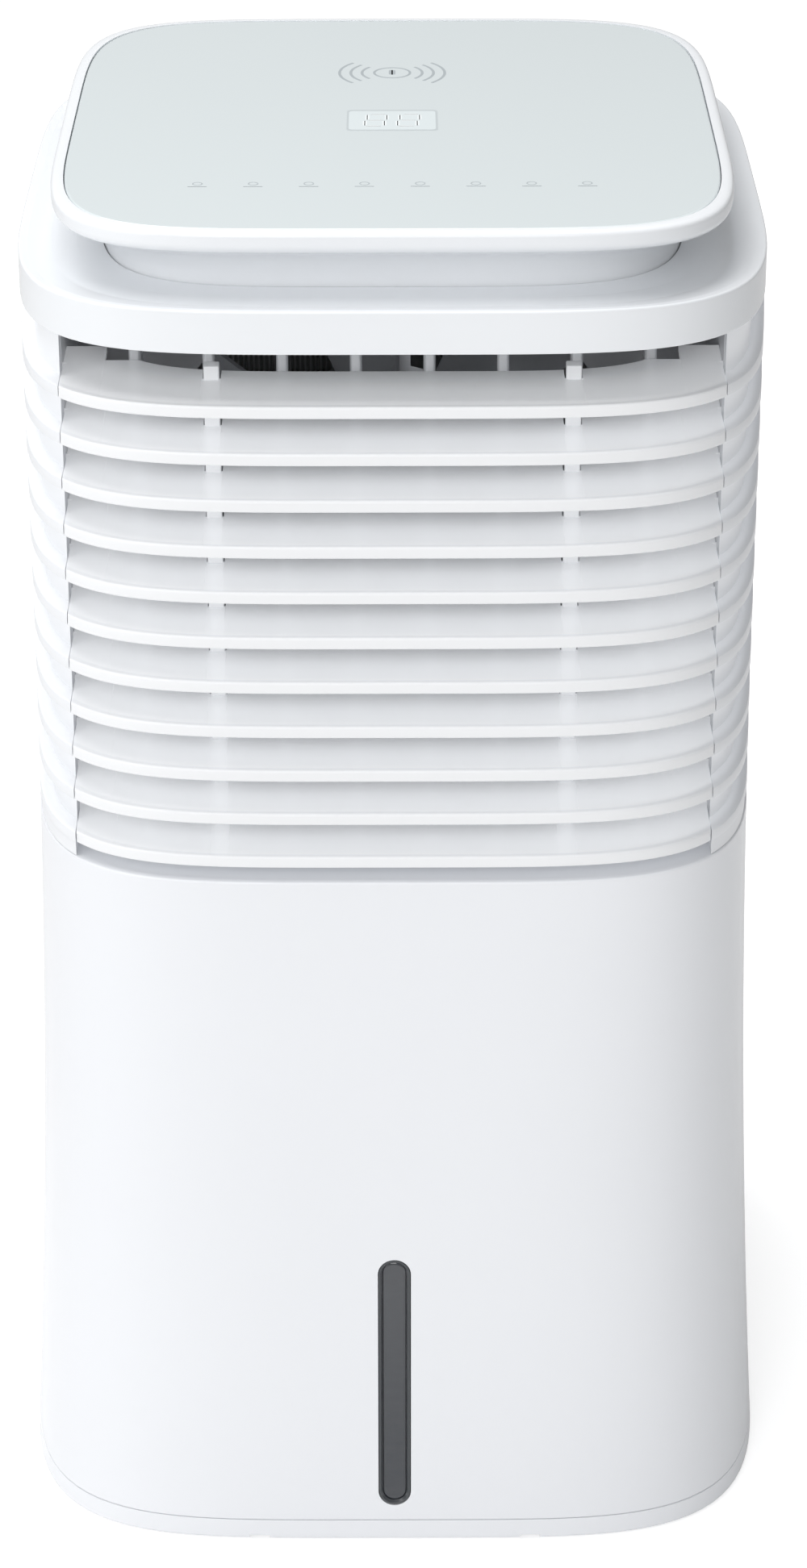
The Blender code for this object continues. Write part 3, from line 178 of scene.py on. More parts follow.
def rubberMix(name, tone):
    paint = Paint(name)
    speck = paint.noise(1400, 4, 0.7)
    dust = paint.noise(60, 5, 0.65)
    return paint.set(color=paint.mix(dust * 0.5, tone, shade(tone, 2.1)), roughness=dust * 0.15 + 0.68,
                     normal=paint.bump(speck, 0.25, 0.0001))


def drawnMetal(name, tone, roughness, stretch=(1, 1, 40)):
    paint = Paint(name)
    lines = paint.noise(260, 4, 0.6, stretch)
    stain = paint.noise(30, 4)
    return paint.set(color=paint.mix(stain, shade(tone, 0.86), tone), metallic=1.0,
                     roughness=lines * 0.18 + roughness, normal=paint.bump(lines, 0.12, 0.00006))


# Upright aluminium fins, drawn as fine ridges across the block, with painted shade darkening the gaps between
# them
def finnedMetal(name, tone):
    paint = Paint(name)
    finsAndGapShade = paint.node("ShaderNodeTexWave", {"wave_type": "BANDS", "bands_direction": "X"},
                       {"Vector": paint.place(), "Scale": 150.0, "Distortion": 0.0})
    dust = paint.noise(45, 5)
    # painted shade: the bands between the ridges are darkened to stand for shade in the gaps between fins
    return paint.set(color=paint.mix(finsAndGapShade * 0.7, tone, shade(tone, 0.35)), metallic=0.8,
                     roughness=dust * 0.2 + 0.35, normal=paint.bump(finsAndGapShade, 0.8, 0.0006))


def circuitBoard(name):
    paint = Paint(name)
    tracks = paint.node("ShaderNodeTexBrick", {"offset": 0.5}, {
        "Vector": paint.place((1, 1, 0)), "Scale": 90.0, "Mortar Size": 0.03,
        "Color1": (0.02, 0.17, 0.08), "Color2": (0.03, 0.22, 0.1), "Mortar": (0.3, 0.26, 0.1)})
    return paint.set(color=tracks, roughness=paint.noise(200, 3) * 0.1 + 0.35)


# Water tank: milky clear plastic with faint flow lines
def tankPlastic(name, tone):
    paint = Paint(name)
    flow = paint.noise(18, 4, 0.6, (1, 1, 6))
    return paint.set(color=paint.mix(flow, shade(tone, 0.93), tone), roughness=flow * 0.12 + 0.16, alpha=0.62,
                     normal=paint.bump(flow, 0.08, 0.0004))


# Back-painted glass: an even tint under a polished face that shows faint smears in its gloss
def paintedGlass(name, tone):
    paint = Paint(name)
    smear = paint.noise(14, 5, 0.62, (1, 2.4, 1))
    cloud = paint.noise(4, 2)
    return paint.set(color=paint.mix(cloud, shade(tone, 0.985), shade(tone, 1.01)),
                     roughness=smear * 0.06 + 0.03, coat=1.0, coatRoughness=0.02, specular=0.45)


def smokedLens(name):
    paint = Paint(name)
    height = paint.axis(2)
    windowLow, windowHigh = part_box("window_lens")
    rise = (height - windowLow.z) / (windowHigh.z - windowLow.z)
    stain = paint.noise(120, 4, 0.6, (1, 1, 3))
    deep = paint.mix(rise.smooth(0.1, 1.0), (0.03, 0.034, 0.042), (0.05, 0.054, 0.062))
    return paint.set(color=paint.mix(stain * 0.25, deep, (0.09, 0.095, 0.105)), roughness=stain * 0.05 + 0.06,
                     coat=0.6, coatRoughness=0.03)


def wovenMesh(name, tone):
    paint = Paint(name)
    lint = paint.noise(420, 5, 0.7)
    return paint.set(color=paint.mix(lint * 0.6, tone, shade(tone, 1.8)), roughness=lint * 0.2 + 0.65,
                     normal=paint.bump(lint, 0.3, 0.0001))


# White louvre plastic with painted light: an emission glow on the surfaces behind the lips stands in for
# light that the lamps don't bring into the slots
def louvrePlastic(name, tone, paintedGlow):
    paint = Paint(name)
    cloud = paint.noise(9, 2)
    grain = paint.noise(1900, 2)
    across, deep = paint.axis(0), paint.axis(1)
    outline = (across.calc("ABSOLUTE") / plan["straightHalf"]) ** plan["power"]
    outline = outline + (deep.calc("ABSOLUTE") / (plan["straightHalf"] * plan["depthRatio"])) ** plan["power"]
    behindLip = 1.0 - outline.smooth(0.88, 0.975)
    towardsBack = outline.smooth(0.22, 0.62)
    # painted light: mask for where the plastic behind the lip is made to glow
    glow = behindLip * (towardsBack * 0.75 + 0.25)
    return paint.set(color=paint.mix(cloud, shade(tone, 0.985), shade(tone, 1.012)),
                     roughness=cloud * 0.05 + 0.3, glow=paintedGlow, glowColor=paint.mix(glow, (0, 0, 0), tone),
                     normal=paint.bump(grain, 0.08, 0.00004))


bodyTone = (0.83, 0.845, 0.875)
finishes = {
    "shell": mouldedPlastic("shellWhite", bodyTone, 0.24),
    "shellTop": mouldedPlastic("topWhite", (0.83, 0.85, 0.875), 0.2),
    # louvre and cheek whites carry painted light, an emission glow behind the lips
    "louvre": louvrePlastic("louvreWhite", (0.86, 0.87, 0.885), 0.2),
    "cheek": louvrePlastic("cheekWhite", (0.84, 0.855, 0.88), 0.12),
    "frameWhite": mouldedPlastic("frameWhite", (0.7, 0.71, 0.73), 0.45, skin=0.2, skinScale=1500),
    "vane": mouldedPlastic("vaneGrey", (0.72, 0.73, 0.75), 0.42, skin=0.2, skinScale=1500),
    "duct": mouldedPlastic("ductGrey", (0.42, 0.425, 0.44), 0.55, skin=0.2, skinScale=1500),
    "inner": mouldedPlastic("innerGrey", (0.36, 0.37, 0.39), 0.5, skin=0.2, skinScale=1500),
    "dark": mouldedPlastic("darkGloss", (0.05, 0.055, 0.062), 0.2, skin=0.04, coat=0.3),
    "rubber": rubberMix("rubberBlack", (0.028, 0.028, 0.03)),
    "steel": drawnMetal("steelSheet", (0.55, 0.56, 0.58), 0.3),
    "copper": drawnMetal("copperTube", (0.80, 0.42, 0.27), 0.22),
    "fins": finnedMetal("coilFins", (0.78, 0.79, 0.80)),
    "blackPaint": mouldedPlastic("compressorBlack", (0.02, 0.021, 0.023), 0.3, skin=0.25, skinScale=700),
    "board": circuitBoard("circuitBoard"),
    "tank": tankPlastic("tankMilky", (0.66, 0.70, 0.74)),
    "glass": paintedGlass("topGlass", (0.75, 0.815, 0.83)),
    "lens": smokedLens("smokedLens"),
    "mesh": wovenMesh("filterMesh", (0.05, 0.055, 0.065)),
    "print": mouldedPlastic("keyPrint", (0.40, 0.44, 0.46), 0.25, skin=0.02),
    "printSoft": mouldedPlastic("displayPrint", (0.53, 0.575, 0.59), 0.2, skin=0.02),
    "printPale": mouldedPlastic("palePrint", (0.86, 0.90, 0.91), 0.2, skin=0.02),
    "printWindow": mouldedPlastic("windowPrint", (0.70, 0.76, 0.775), 0.15, skin=0.02),
}
print("materials:", len(finishes))


def halfWidth(z):
    rise = max(0.0, (plan["flareTop"] - z) / plan["flareTop"])
    return plan["straightHalf"] + (plan["footHalf"] - plan["straightHalf"]) * rise ** plan["flarePower"]


def edgeDepth(x, width, depth, power):
    return depth * (1.0 - min(1.0, abs(x) / width) ** power) ** (1.0 / power)


planCache = {}


# Points of the unit outline, evenly spaced along its length
def unitPlan(power):
    if power in planCache:
        return planCache[power]
    fine = []
    steps = 2400
    for step in range(steps + 1):
        angle = 2 * math.pi * step / steps
        c, s = math.cos(angle), math.sin(angle)
        fine.append((math.copysign(abs(c) ** (2 / power), c), math.copysign(abs(s) ** (2 / power), s)))
    lengths = [0.0]
    for before, after in zip(fine, fine[1:]):
        lengths.append(lengths[-1] + math.dist(before, after))
    points, index = [], 0
    for step in range(plan["around"]):
        goal = lengths[-1] * step / plan["around"]
        while lengths[index + 1] < goal:
            index += 1
        share = (goal - lengths[index]) / (lengths[index + 1] - lengths[index])
        a, b = fine[index], fine[index + 1]
        points.append((a[0] + (b[0] - a[0]) * share, a[1] + (b[1] - a[1]) * share))
    planCache[power] = points
    return points


def planRing(z, inset, power=None):
    width = halfWidth(z) - inset
    depth = halfWidth(z) * plan["depthRatio"] - inset
    return [(x * width, y * depth, z) for x, y in unitPlan(power or plan["power"])]


# ---- mesh tools
def makeObject(name, mesh, finish, sharp=35.0):
    for polygon in mesh.polygons:
        polygon.use_smooth = True
    mesh.set_sharp_from_angle(angle=math.radians(sharp))
    mesh.materials.clear()
    mesh.materials.append(finishes[finish])
    piece = bpy.data.objects.new(name, mesh)
    bpy.context.scene.collection.objects.link(piece)
    return piece


def fromBmesh(name, shape, finish, sharp=35.0, outwards=True):
    if outwards:
        bmesh.ops.recalc_face_normals(shape, faces=shape.faces)
    mesh = bpy.data.meshes.new(name)
    shape.to_mesh(mesh)
    shape.free()
    return makeObject(name, mesh, finish, sharp)


def addLoft(shape, rings, closed=False):
    rows = [[shape.verts.new(point) for point in ring] for ring in rings]
    pairs = list(zip(rows, rows[1:]))
    if closed:
        pairs.append((rows[-1], rows[0]))
    else:
        shape.faces.new(rows[0])
        shape.faces.new(rows[-1])
    for low, high in pairs:
        for index in range(len(low)):
            after = (index + 1) % len(low)
            shape.faces.new((low[index], low[after], high[after], high[index]))


# Rounds the corners of an outline; each point is (u, v, radius), and a supporting point keeps flats flat
def rounded(outline, steps=5, closed=True):
    points = []
    count = len(outline)
    for index, (u, v, radius) in enumerate(outline):
        here = Vector((u, v))
        if radius <= 0 or (not closed and index in (0, count - 1)):
            points.append((u, v))
            continue
        before = Vector(outline[index - 1][:2]) - here
        after = Vector(outline[(index + 1) % count][:2]) - here
        reach = radius / math.tan(before.angle(after) / 2)
        reach = min(reach, before.length * 0.45, after.length * 0.45)
        start, end = here + before.normalized() * reach, here + after.normalized() * reach
        support = min(reach * 0.35, (before.length - reach) * 0.4, (after.length - reach) * 0.4)
        points.append(tuple(start + before.normalized() * support))
        for step in range(steps + 1):
            t = step / steps
            points.append(tuple(start.lerp(here, t).lerp(here.lerp(end, t), t)))
        points.append(tuple(end + after.normalized() * support))
    return points


def splitLong(points, longest, closed=True):
    result = []
    last = len(points) if closed else len(points) - 1
    for index in range(last):
        a, b = points[index], points[(index + 1) % len(points)]
        parts = max(1, math.ceil(math.dist(a, b) / longest))
        result += [(a[0] + (b[0] - a[0]) * k / parts, a[1] + (b[1] - a[1]) * k / parts) for k in range(parts)]
    if not closed:
        result.append(points[-1])
    return result


# A wall round the body from its section, given as (inset, height, corner radius)
def planShell(name, section, finish, power=None, longest=9 * mm):
    shape = bmesh.new()
    points = splitLong(rounded(section), longest)
    addLoft(shape, [planRing(z, inset, power) for inset, z in points], closed=True)
    return fromBmesh(name, shape, finish)


def boxShape(shape, low, high):
    corners = [(low[0], low[1]), (high[0], low[1]), (high[0], high[1]), (low[0], high[1])]
    addLoft(shape, [[(x, y, z) for x, y in corners] for z in (low[2], high[2])])


# Box with rounded upright edges or, with axis Y, rounded edges along Y
def roundBox(shape, low, high, radius, axis="Z", edge=0.0):
    order = {"Z": (0, 1, 2), "Y": (0, 2, 1), "X": (1, 2, 0)}[axis]
    u, v, w = order
    outline = rounded([(low[u], low[v], radius), (high[u], low[v], radius), (high[u], high[v], radius),
                       (low[u], high[v], radius)], 6)
    middle = ((low[u] + high[u]) / 2, (low[v] + high[v]) / 2)
    half = (high[u] - low[u]) / 2, (high[v] - low[v]) / 2
    stations = [(low[w], edge), (low[w] + 0.3 * edge, 0.3 * edge), (low[w] + edge, 0.0),
                (high[w] - edge, 0.0), (high[w] - 0.3 * edge, 0.3 * edge), (high[w], edge)]
    if edge <= 0:
        stations = [(low[w], 0.0), (high[w], 0.0)]
    rings = []
    for along, inset in stations:
        ring = []
        for pu, pv in outline:
            point = [0.0, 0.0, 0.0]
            point[u] = middle[0] + (pu - middle[0]) * (1 - inset / half[0])
            point[v] = middle[1] + (pv - middle[1]) * (1 - inset / half[1])
            point[w] = along
            ring.append(tuple(point))
        rings.append(ring)
    addLoft(shape, rings)


def turnedShape(shape, axis, centre, section, sides=48, closed=False):
    rings = []
    for along, radius in section:
        ring = []
        for step in range(sides):
            angle = 2 * math.pi * step / sides
            a, b = radius * math.cos(angle), radius * math.sin(angle)
            u, v = centre[0] + a, centre[1] + b
            ring.append({"X": (along, u, v), "Y": (u, along, v), "Z": (u, v, along)}[axis])
        rings.append(ring)
    addLoft(shape, rings, closed)


# Cut or trim a piece with shapes drawn by a function, then keep the plain result
def trim(piece, operation, draw, sharp=35.0):
    shape = bmesh.new()
    draw(shape)
    bmesh.ops.recalc_face_normals(shape, faces=shape.faces)
    mesh = bpy.data.meshes.new("tool")
    shape.to_mesh(mesh)
    shape.free()
    tool = bpy.data.objects.new("tool", mesh)
    bpy.context.scene.collection.objects.link(tool)
    modifier = piece.modifiers.new("trim", "BOOLEAN")
    modifier.operation, modifier.solver, modifier.object = operation, "EXACT", tool
    freeze(piece, sharp)
    bpy.data.objects.remove(tool)
    return piece


# Replace a piece's mesh by what its modifiers make of it
def freeze(piece, sharp=None):
    evaluated = piece.evaluated_get(bpy.context.evaluated_depsgraph_get())
    mesh = bpy.data.meshes.new_from_object(evaluated)
    piece.modifiers.clear()
    piece.data = mesh
    if sharp is not None:
        mesh.set_sharp_from_angle(angle=math.radians(sharp))
    return piece


# ---- one Geometry Nodes tree repeats a pattern along a line
def repeatTree():
    tree = bpy.data.node_groups.new("repeatAlongLine", "GeometryNodeTree")
    for label, kind in (("Pattern", "Object"), ("Count", "Int"), ("Start", "Vector"), ("Step", "Vector"),
                        ("Finish", "Material")):
        tree.interface.new_socket(label, in_out="INPUT", socket_type=f"NodeSocket{kind}")
    tree.interface.new_socket("Geometry", in_out="OUTPUT", socket_type="NodeSocketGeometry")
    entry, leave = tree.nodes.new("NodeGroupInput"), tree.nodes.new("NodeGroupOutput")
    line = tree.nodes.new("GeometryNodeMeshLine")
    pattern = tree.nodes.new("GeometryNodeObjectInfo")
    instances = tree.nodes.new("GeometryNodeInstanceOnPoints")
    realize = tree.nodes.new("GeometryNodeRealizeInstances")
    coat = tree.nodes.new("GeometryNodeSetMaterial")
    link = tree.links.new
    link(entry.outputs["Count"], line.inputs["Count"])
    link(entry.outputs["Start"], line.inputs["Start Location"])
    link(entry.outputs["Step"], line.inputs["Offset"])
    link(entry.outputs["Pattern"], pattern.inputs["Object"])
    link(line.outputs["Mesh"], instances.inputs["Points"])
    link(pattern.outputs["Geometry"], instances.inputs["Instance"])
    link(instances.outputs["Instances"], realize.inputs["Geometry"])
    link(realize.outputs["Geometry"], coat.inputs["Geometry"])
    link(entry.outputs["Finish"], coat.inputs["Material"])
    link(coat.outputs["Geometry"], leave.inputs["Geometry"])
    return tree


repeater = repeatTree()


def repeated(name, pattern, count, start, step, finish):
    piece = bpy.data.objects.new(name, bpy.data.meshes.new(name))
    bpy.context.scene.collection.objects.link(piece)
    modifier = piece.modifiers.new("repeat", "NODES")
    modifier.node_group = repeater
    values = {"Pattern": pattern, "Count": count, "Start": start, "Step": step, "Finish": finishes[finish]}
    for item in repeater.interface.items_tree:
        if item.in_out == "INPUT":
            modifier[item.identifier] = values[item.name]
    return freeze(piece)


def drop(*objects):
    for item in objects:
        bpy.data.objects.remove(item)


def settle(piece, body, slot, *replaced):
    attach(piece, body)
    if replaced:
        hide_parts(*replaced)
    return piece


# ---- camera, floor and lights
def setStudio():
    view = {"distance": 1.6704, "depression": 26.1, "aim": 256.8 * mm, "lens": 93.65, "sensor": 36,
            "shiftX": 0.0088, "roll": 0.12}
    camera = bpy.data.objects.new("camera", bpy.data.cameras.new("camera"))
    lean = math.radians(view["depression"])
    camera.location = (0, -view["distance"] * math.cos(lean), view["aim"] + view["distance"] * math.sin(lean))
    camera.rotation_euler = (math.pi / 2 - lean, math.radians(view["roll"]), 0)
    camera.data.lens, camera.data.sensor_width = view["lens"], view["sensor"]
    camera.data.shift_x = view["shiftX"]
    bpy.context.scene.collection.objects.link(camera)
    bpy.context.scene.camera = camera

    floorPaint = Paint("studioFloor")
    seen = floorPaint.node("ShaderNodeLightPath")
    floorPaint.set(color=floorPaint.mix(floorPaint.noise(3, 2), (0.93, 0.93, 0.93), (0.95, 0.95, 0.95)),
                   roughness=0.9, specular=0.0, glow=1.0,
                   glowColor=floorPaint.mix(seen, (0.04, 0.04, 0.04), (0.5, 0.5, 0.5)))
    shape = bmesh.new()
    bmesh.ops.create_grid(shape, x_segments=8, y_segments=8, size=12)
    mesh = bpy.data.meshes.new("floor")
    shape.to_mesh(mesh)
    shape.free()
    floor = bpy.data.objects.new("floor", mesh)
    mesh.materials.append(floorPaint.material)
    bpy.context.scene.collection.objects.link(floor)

    world = bpy.data.worlds.new("studio")
    world.use_nodes = True
    background = world.node_tree.nodes["Background"]
    background.inputs["Color"].default_value = (1.0, 1.0, 1.0, 1.0)
    background.inputs["Strength"].default_value = 0.33
    bpy.context.scene.world = world

    softBoxes = {
        "keyLeft": {"at": (-1.9, -1.9, 1.4), "size": (1.6, 2.2), "power": 19},
        "frontFill": {"at": (-0.2, -2.6, 1.5), "size": (1.4, 1.2), "power": 18},
        "overhead": {"at": (-0.5, 0.1, 2.2), "size": (2.0, 1.4), "power": 34},
    }
    for name, box in softBoxes.items():
        lamp = bpy.data.lights.new(name, "AREA")
        lamp.shape = "RECTANGLE"
        lamp.size, lamp.size_y = box["size"]
        lamp.energy = box["power"]
        light = bpy.data.objects.new(name, lamp)
        light.location = box["at"]
        light.rotation_euler = (Vector((0, 0, 0.3)) - light.location).to_track_quat("-Z", "Y").to_euler()
        bpy.context.scene.collection.objects.link(light)
    bpy.context.scene.view_settings.view_transform = "Standard"
    print("studio: camera, floor and lights")


# ---- shells
def buildBase():
    base = {"wall": 3.0 * mm, "edge": 1.2 * mm, "notchWidth": 8 * mm, "notchHeight": 1.6 * mm,
            "notchAt": 54 * mm}
    low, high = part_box("base_tray")
    section = [(0, low.z, base["edge"]), (0, high.z, 0.5 * mm), (60 * mm, high.z, 0),
               (60 * mm, high.z - base["wall"], 0),
               (4 * mm, high.z - base["wall"], 1 * mm), (4 * mm, low.z, 0.4 * mm)]
    ring = planShell("baseRing", section, "shell")

    def notches(shape):
        for side in (-1, 1):
            x = side * base["notchAt"]
            boxShape(shape, (x - base["notchWidth"] / 2, low.y - 0.01, low.z - 0.01),
                     (x + base["notchWidth"] / 2, low.y + 0.006, low.z + base["notchHeight"]))
    trim(ring, "DIFFERENCE", notches)
    settle(ring, "housing", "white_shell")
    shape = bmesh.new()
    addLoft(shape, [planRing(z, 59.5 * mm) for z in (high.z - base["wall"], high.z)])
    floor = fromBmesh("baseFloor", shape, "shell")
    settle(floor, "housing", "white_shell")
    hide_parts("base_tray")
    print("base: ring, floor and notches")


def slotRing(half, low, high, depth, steps=22):
    points = []
    for first, centre in ((180.0, low + half), (0.0, high - half)):
        for step in range(steps + 1):
            angle = math.radians(first + 180.0 * step / steps)
            x, z = half * math.cos(angle), centre + half * math.sin(angle)
            points.append((x, -halfWidth(z) * plan["depthRatio"] + depth, z))
    return points


def buildLowerShell():
    shell = {"wall": 2.5 * mm, "topEdge": 0.8 * mm, "shelf": 42 * mm}
    low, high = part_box("lower_shell")
    bezelLow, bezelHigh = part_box("window_bezel")
    tankLow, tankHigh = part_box("tank")
    inletLow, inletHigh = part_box("power_inlet")
    bungLow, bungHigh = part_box("drain_bung")
    gap = 0.3 * mm
    section = [(0, low.z, 0.5 * mm), (0, high.z, shell["topEdge"]), (shell["shelf"], high.z, 0),
               (shell["shelf"], high.z - shell["wall"], 0), (shell["wall"], high.z - shell["wall"], 1 * mm),
               (shell["wall"], low.z, 0.4 * mm)]
    piece = planShell("lowerShell", section, "shell")

    def window(shape):
        half = bezelHigh.x + gap
        addLoft(shape, [slotRing(half, bezelLow.z - gap, bezelHigh.z + gap, depth)
                        for depth in (-3 * mm, 5 * mm)])

    def tankDoor(shape):
        boxShape(shape, (tankLow.x - gap, 0.06, low.z - 0.01), (tankHigh.x + gap, 0.2, tankHigh.z + gap))

    def sockets(shape):
        roundBox(shape, (inletLow.x - gap, inletHigh.y - 0.02, inletLow.z - gap),
                 (inletHigh.x + gap, inletHigh.y + 0.02, inletHigh.z + gap), 2 * mm, "Y")
        middle = (bungLow + bungHigh) / 2
        turnedShape(shape, "Y", (middle.x, middle.z),
                    [(bungLow.y - 0.01, 9.3 * mm), (bungHigh.y + 0.01, 9.3 * mm)])
    for draw in (window, tankDoor, sockets):
        trim(piece, "DIFFERENCE", draw)
    settle(piece, "housing", "white_shell", "lower_shell")
    print("lower shell: window slot, tank door and sockets")


def buildUpperShell():
    upper = {"wall": 2.5 * mm, "step": 1.4 * mm, "stepHeight": 2.2 * mm}
    low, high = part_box("upper_shell")
    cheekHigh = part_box("cheek_right")[1]
    grilleLow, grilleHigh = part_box("rear_grille")
    gap = 0.3 * mm
    section = [(upper["step"], low.z, 0.3 * mm), (upper["step"], low.z + upper["stepHeight"], 0.2 * mm),
               (0, low.z + upper["stepHeight"], 0.5 * mm), (0, high.z, 0.4 * mm),
                (upper["wall"], high.z, 0.3 * mm),
               (upper["wall"], low.z, 0.3 * mm)]
    piece = planShell("upperShell", section, "shell")

    def front(shape):
        boxShape(shape, (-0.2, -0.2, low.z - 0.01), (0.2, cheekHigh.y + gap, high.z + 0.01))

    def rear(shape):
        roundBox(shape, (grilleLow.x - gap, 0.1, grilleLow.z - gap),
                 (grilleHigh.x + gap, 0.2, grilleHigh.z + gap), 6 * mm, "Y")
    trim(piece, "DIFFERENCE", front)
    trim(piece, "DIFFERENCE", rear)
    settle(piece, "housing", "white_shell", "upper_shell")
    print("upper shell")


# ---- corner cheeks, where the slots between the louvres run out
def buildCheeks():
    cheek = {"columns": 50, "closeAt": 0.75, "groove": 11.2 * mm, "inner": 5.0 * mm, "wall": 1.3 * mm,
             "ease": 1.6, "lip": 4.6 * mm, "roundness": 1.0 * mm, "climb": 0.6, "fall": 0.3,
             "hair": 0.04 * mm}
    low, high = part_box("cheek_right")
    startX, endY = low.x, high.y
    blades = [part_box(f"louvre_blade_{index:02d}")[0].z for index in range(1, 12)]

    # A point under the skin of the body, on a ray from the cheek's inner corner
    def reach(angle, depth, z):
        width, half = halfWidth(z), halfWidth(z) * plan["depthRatio"]
        near, far = 0.0, 0.12
        for _ in range(30):
            middle = (near + far) / 2
            x, y = startX + middle * math.cos(angle), endY + middle * math.sin(angle)
            inside = abs(x / width) ** plan["power"] + abs(y / half) ** plan["power"] < 1.0
            near, far = (middle, far) if inside else (near, middle)
        near -= depth
        return startX + near * math.cos(angle), endY + near * math.sin(angle)

    # Heights and depths from the bottom to the top: rounded lips with grooves between them
    def sectionRows(taper):
        groove = cheek["groove"] * (1 - taper ** cheek["ease"])
        soft = min(cheek["roundness"], 0.6 * groove) + cheek["hair"]
        floor = max(groove, 1.2 * soft)
        rows = [(low.z, soft), (blades[0], soft)]
        for index, lip in enumerate(blades):
            last = index + 1 == len(blades)
            above = (high.z if last else blades[index + 1]) - lip - cheek["lip"]
            crest = lip + cheek["lip"] + cheek["climb"] * above * taper ** 2
            under = lip + cheek["lip"] + above - cheek["fall"] * above * taper ** 2
            foot = rows[-1][0]
            rows += [(foot + 0.25 * soft, 0.3 * soft), (foot + soft, 0.0), (crest - soft, 0.0),
                     (crest - 0.3 * soft, 0.25 * soft), (crest, soft), (crest + 0.2 * mm, floor)]
            rows += [(under - 0.2 * mm, floor), (under, soft)]
        return rows + [(high.z, 0.0)] if taper >= 1 else rows[:-1] + [(high.z, floor)]

    turns = [-90 + 90 * (column / (cheek["columns"] - 1)) ** 1.5 for column in range(cheek["columns"])]
    for side, node, name in ((-1, "cheek_left", "cheekLeft"), (1, "cheek_right", "cheekRight")):
        grid = []
        for turn in turns:
            taper = min(0.999, (1 + turn / 90) / cheek["closeAt"])
            angle = math.radians(turn)
            inner = max(cheek["groove"] * (1 - taper ** cheek["ease"]) + cheek["wall"], cheek["inner"])
            line = [(*reach(angle, depth, z), z) for z, depth in sectionRows(taper)]
            line += [(*reach(angle, inner, z), z) for z in (high.z, low.z)]
            grid.append([(side * x, y, z) for x, y, z in line])
        shape = bmesh.new()
        addLoft(shape, grid)
        piece = fromBmesh(name, shape, "cheek", 40.0)
        settle(piece, "housing", "white_shell", node)
    print("cheeks: two corners with", len(blades), "lips")


# ---- louvre blades: one pattern, set at each blade's height
def buildBlades():
    blade = {"lip": 4.6 * mm, "rear": 2.4 * mm, "roundness": 1.0 * mm, "stations": 96, "pin": 0.9 * mm,
             "notchHalf": 3.35 * mm, "pivotY": -105 * mm, "crankY": -121.8 * mm, "pivotPin": 1.15 * mm,
             "backWidth": 109 * mm, "backDepth": 115 * mm, "backPower": 5.0, "behindPivot": 2.2 * mm,
             "earX": 104.5 * mm}
    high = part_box("louvre_blade_06")[1]
    barLow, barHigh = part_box("link_bar_right")
    barX = (barLow.x + barHigh.x) / 2
    notchFront = barLow.y - 0.9 * mm
    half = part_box("cheek_right")[0].x - 0.3 * mm
    width, depth = plan["straightHalf"], plan["straightHalf"] * plan["depthRatio"]

    def rearAt(x):
        if abs(x) > blade["earX"]:
            return high.y
        rear = -edgeDepth(x, blade["backWidth"], blade["backDepth"], blade["backPower"])
        rear = min(rear, blade["pivotY"] + blade["behindPivot"])
        return min(rear, notchFront) if abs(abs(x) - barX) < blade["notchHalf"] else rear

    places = [half * math.copysign(abs(step / blade["stations"]) ** 0.8, step)
              for step in range(-blade["stations"], blade["stations"] + 1)]
    hair = 0.03 * mm
    for side in (-1, 1):
        for edge in (-1, 1):
            at = side * barX + edge * blade["notchHalf"]
            places += [at - hair, at + hair]
        places += [side * blade["earX"] - 3 * hair, side * blade["earX"] + 3 * hair]
    rings = []
    for x in sorted(places):
        front = -edgeDepth(x, width, depth, plan["power"])
        long = rearAt(x) - front
        outline = [(0, 0, 0.8 * mm), (0, blade["lip"], blade["roundness"]),
                   (long * 0.45, blade["lip"] - 0.35 * mm, 0), (long, blade["lip"], 0.4 * mm),
                   (long, blade["lip"] - blade["rear"], 0.4 * mm), (long * 0.2, 0.5 * mm, 0)]
        rings.append([(x, front + u, v) for u, v in rounded(outline, 4)])
    shape = bmesh.new()
    addLoft(shape, rings)
    pivotZ = blade["lip"] - blade["rear"] / 2
    for side in (-1, 1):
        ends = sorted((side * (half - 1 * mm), side * high.x))
        turnedShape(shape, "X", (blade["pivotY"], pivotZ), [(end, blade["pivotPin"]) for end in ends], 20)
        ends = [side * barX - 5 * mm, side * barX + 5 * mm]
        turnedShape(shape, "X", (blade["crankY"], pivotZ), [(end, blade["pin"]) for end in ends], 16)
    pattern = fromBmesh("bladePattern", shape, "louvre", 30.0)
    for index in range(1, 12):
        node = f"louvre_blade_{index:02d}"
        start = (0, 0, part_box(node)[0].z)
        piece = repeated(f"louvreBlade{index:02d}", pattern, 1, start, (0, 0, 0), "louvre")
        settle(piece, f"blade_{index:02d}", "louvre_white", node)
    drop(pattern)
    print("louvres: 11 blades")


# ---- link bars
def buildLinkBars():
    bar = {"edge": 0.5 * mm, "bevel": 0.4 * mm}
    for side in ("left", "right"):
        node = f"link_bar_{side}"
        low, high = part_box(node)
        shape = bmesh.new()
        roundBox(shape, low, high, bar["edge"], "Z", bar["bevel"])
        piece = fromBmesh(f"linkBar{side.title()}", shape, "louvre")
        settle(piece, node, "louvre_white", node)
    print("link bars: two")


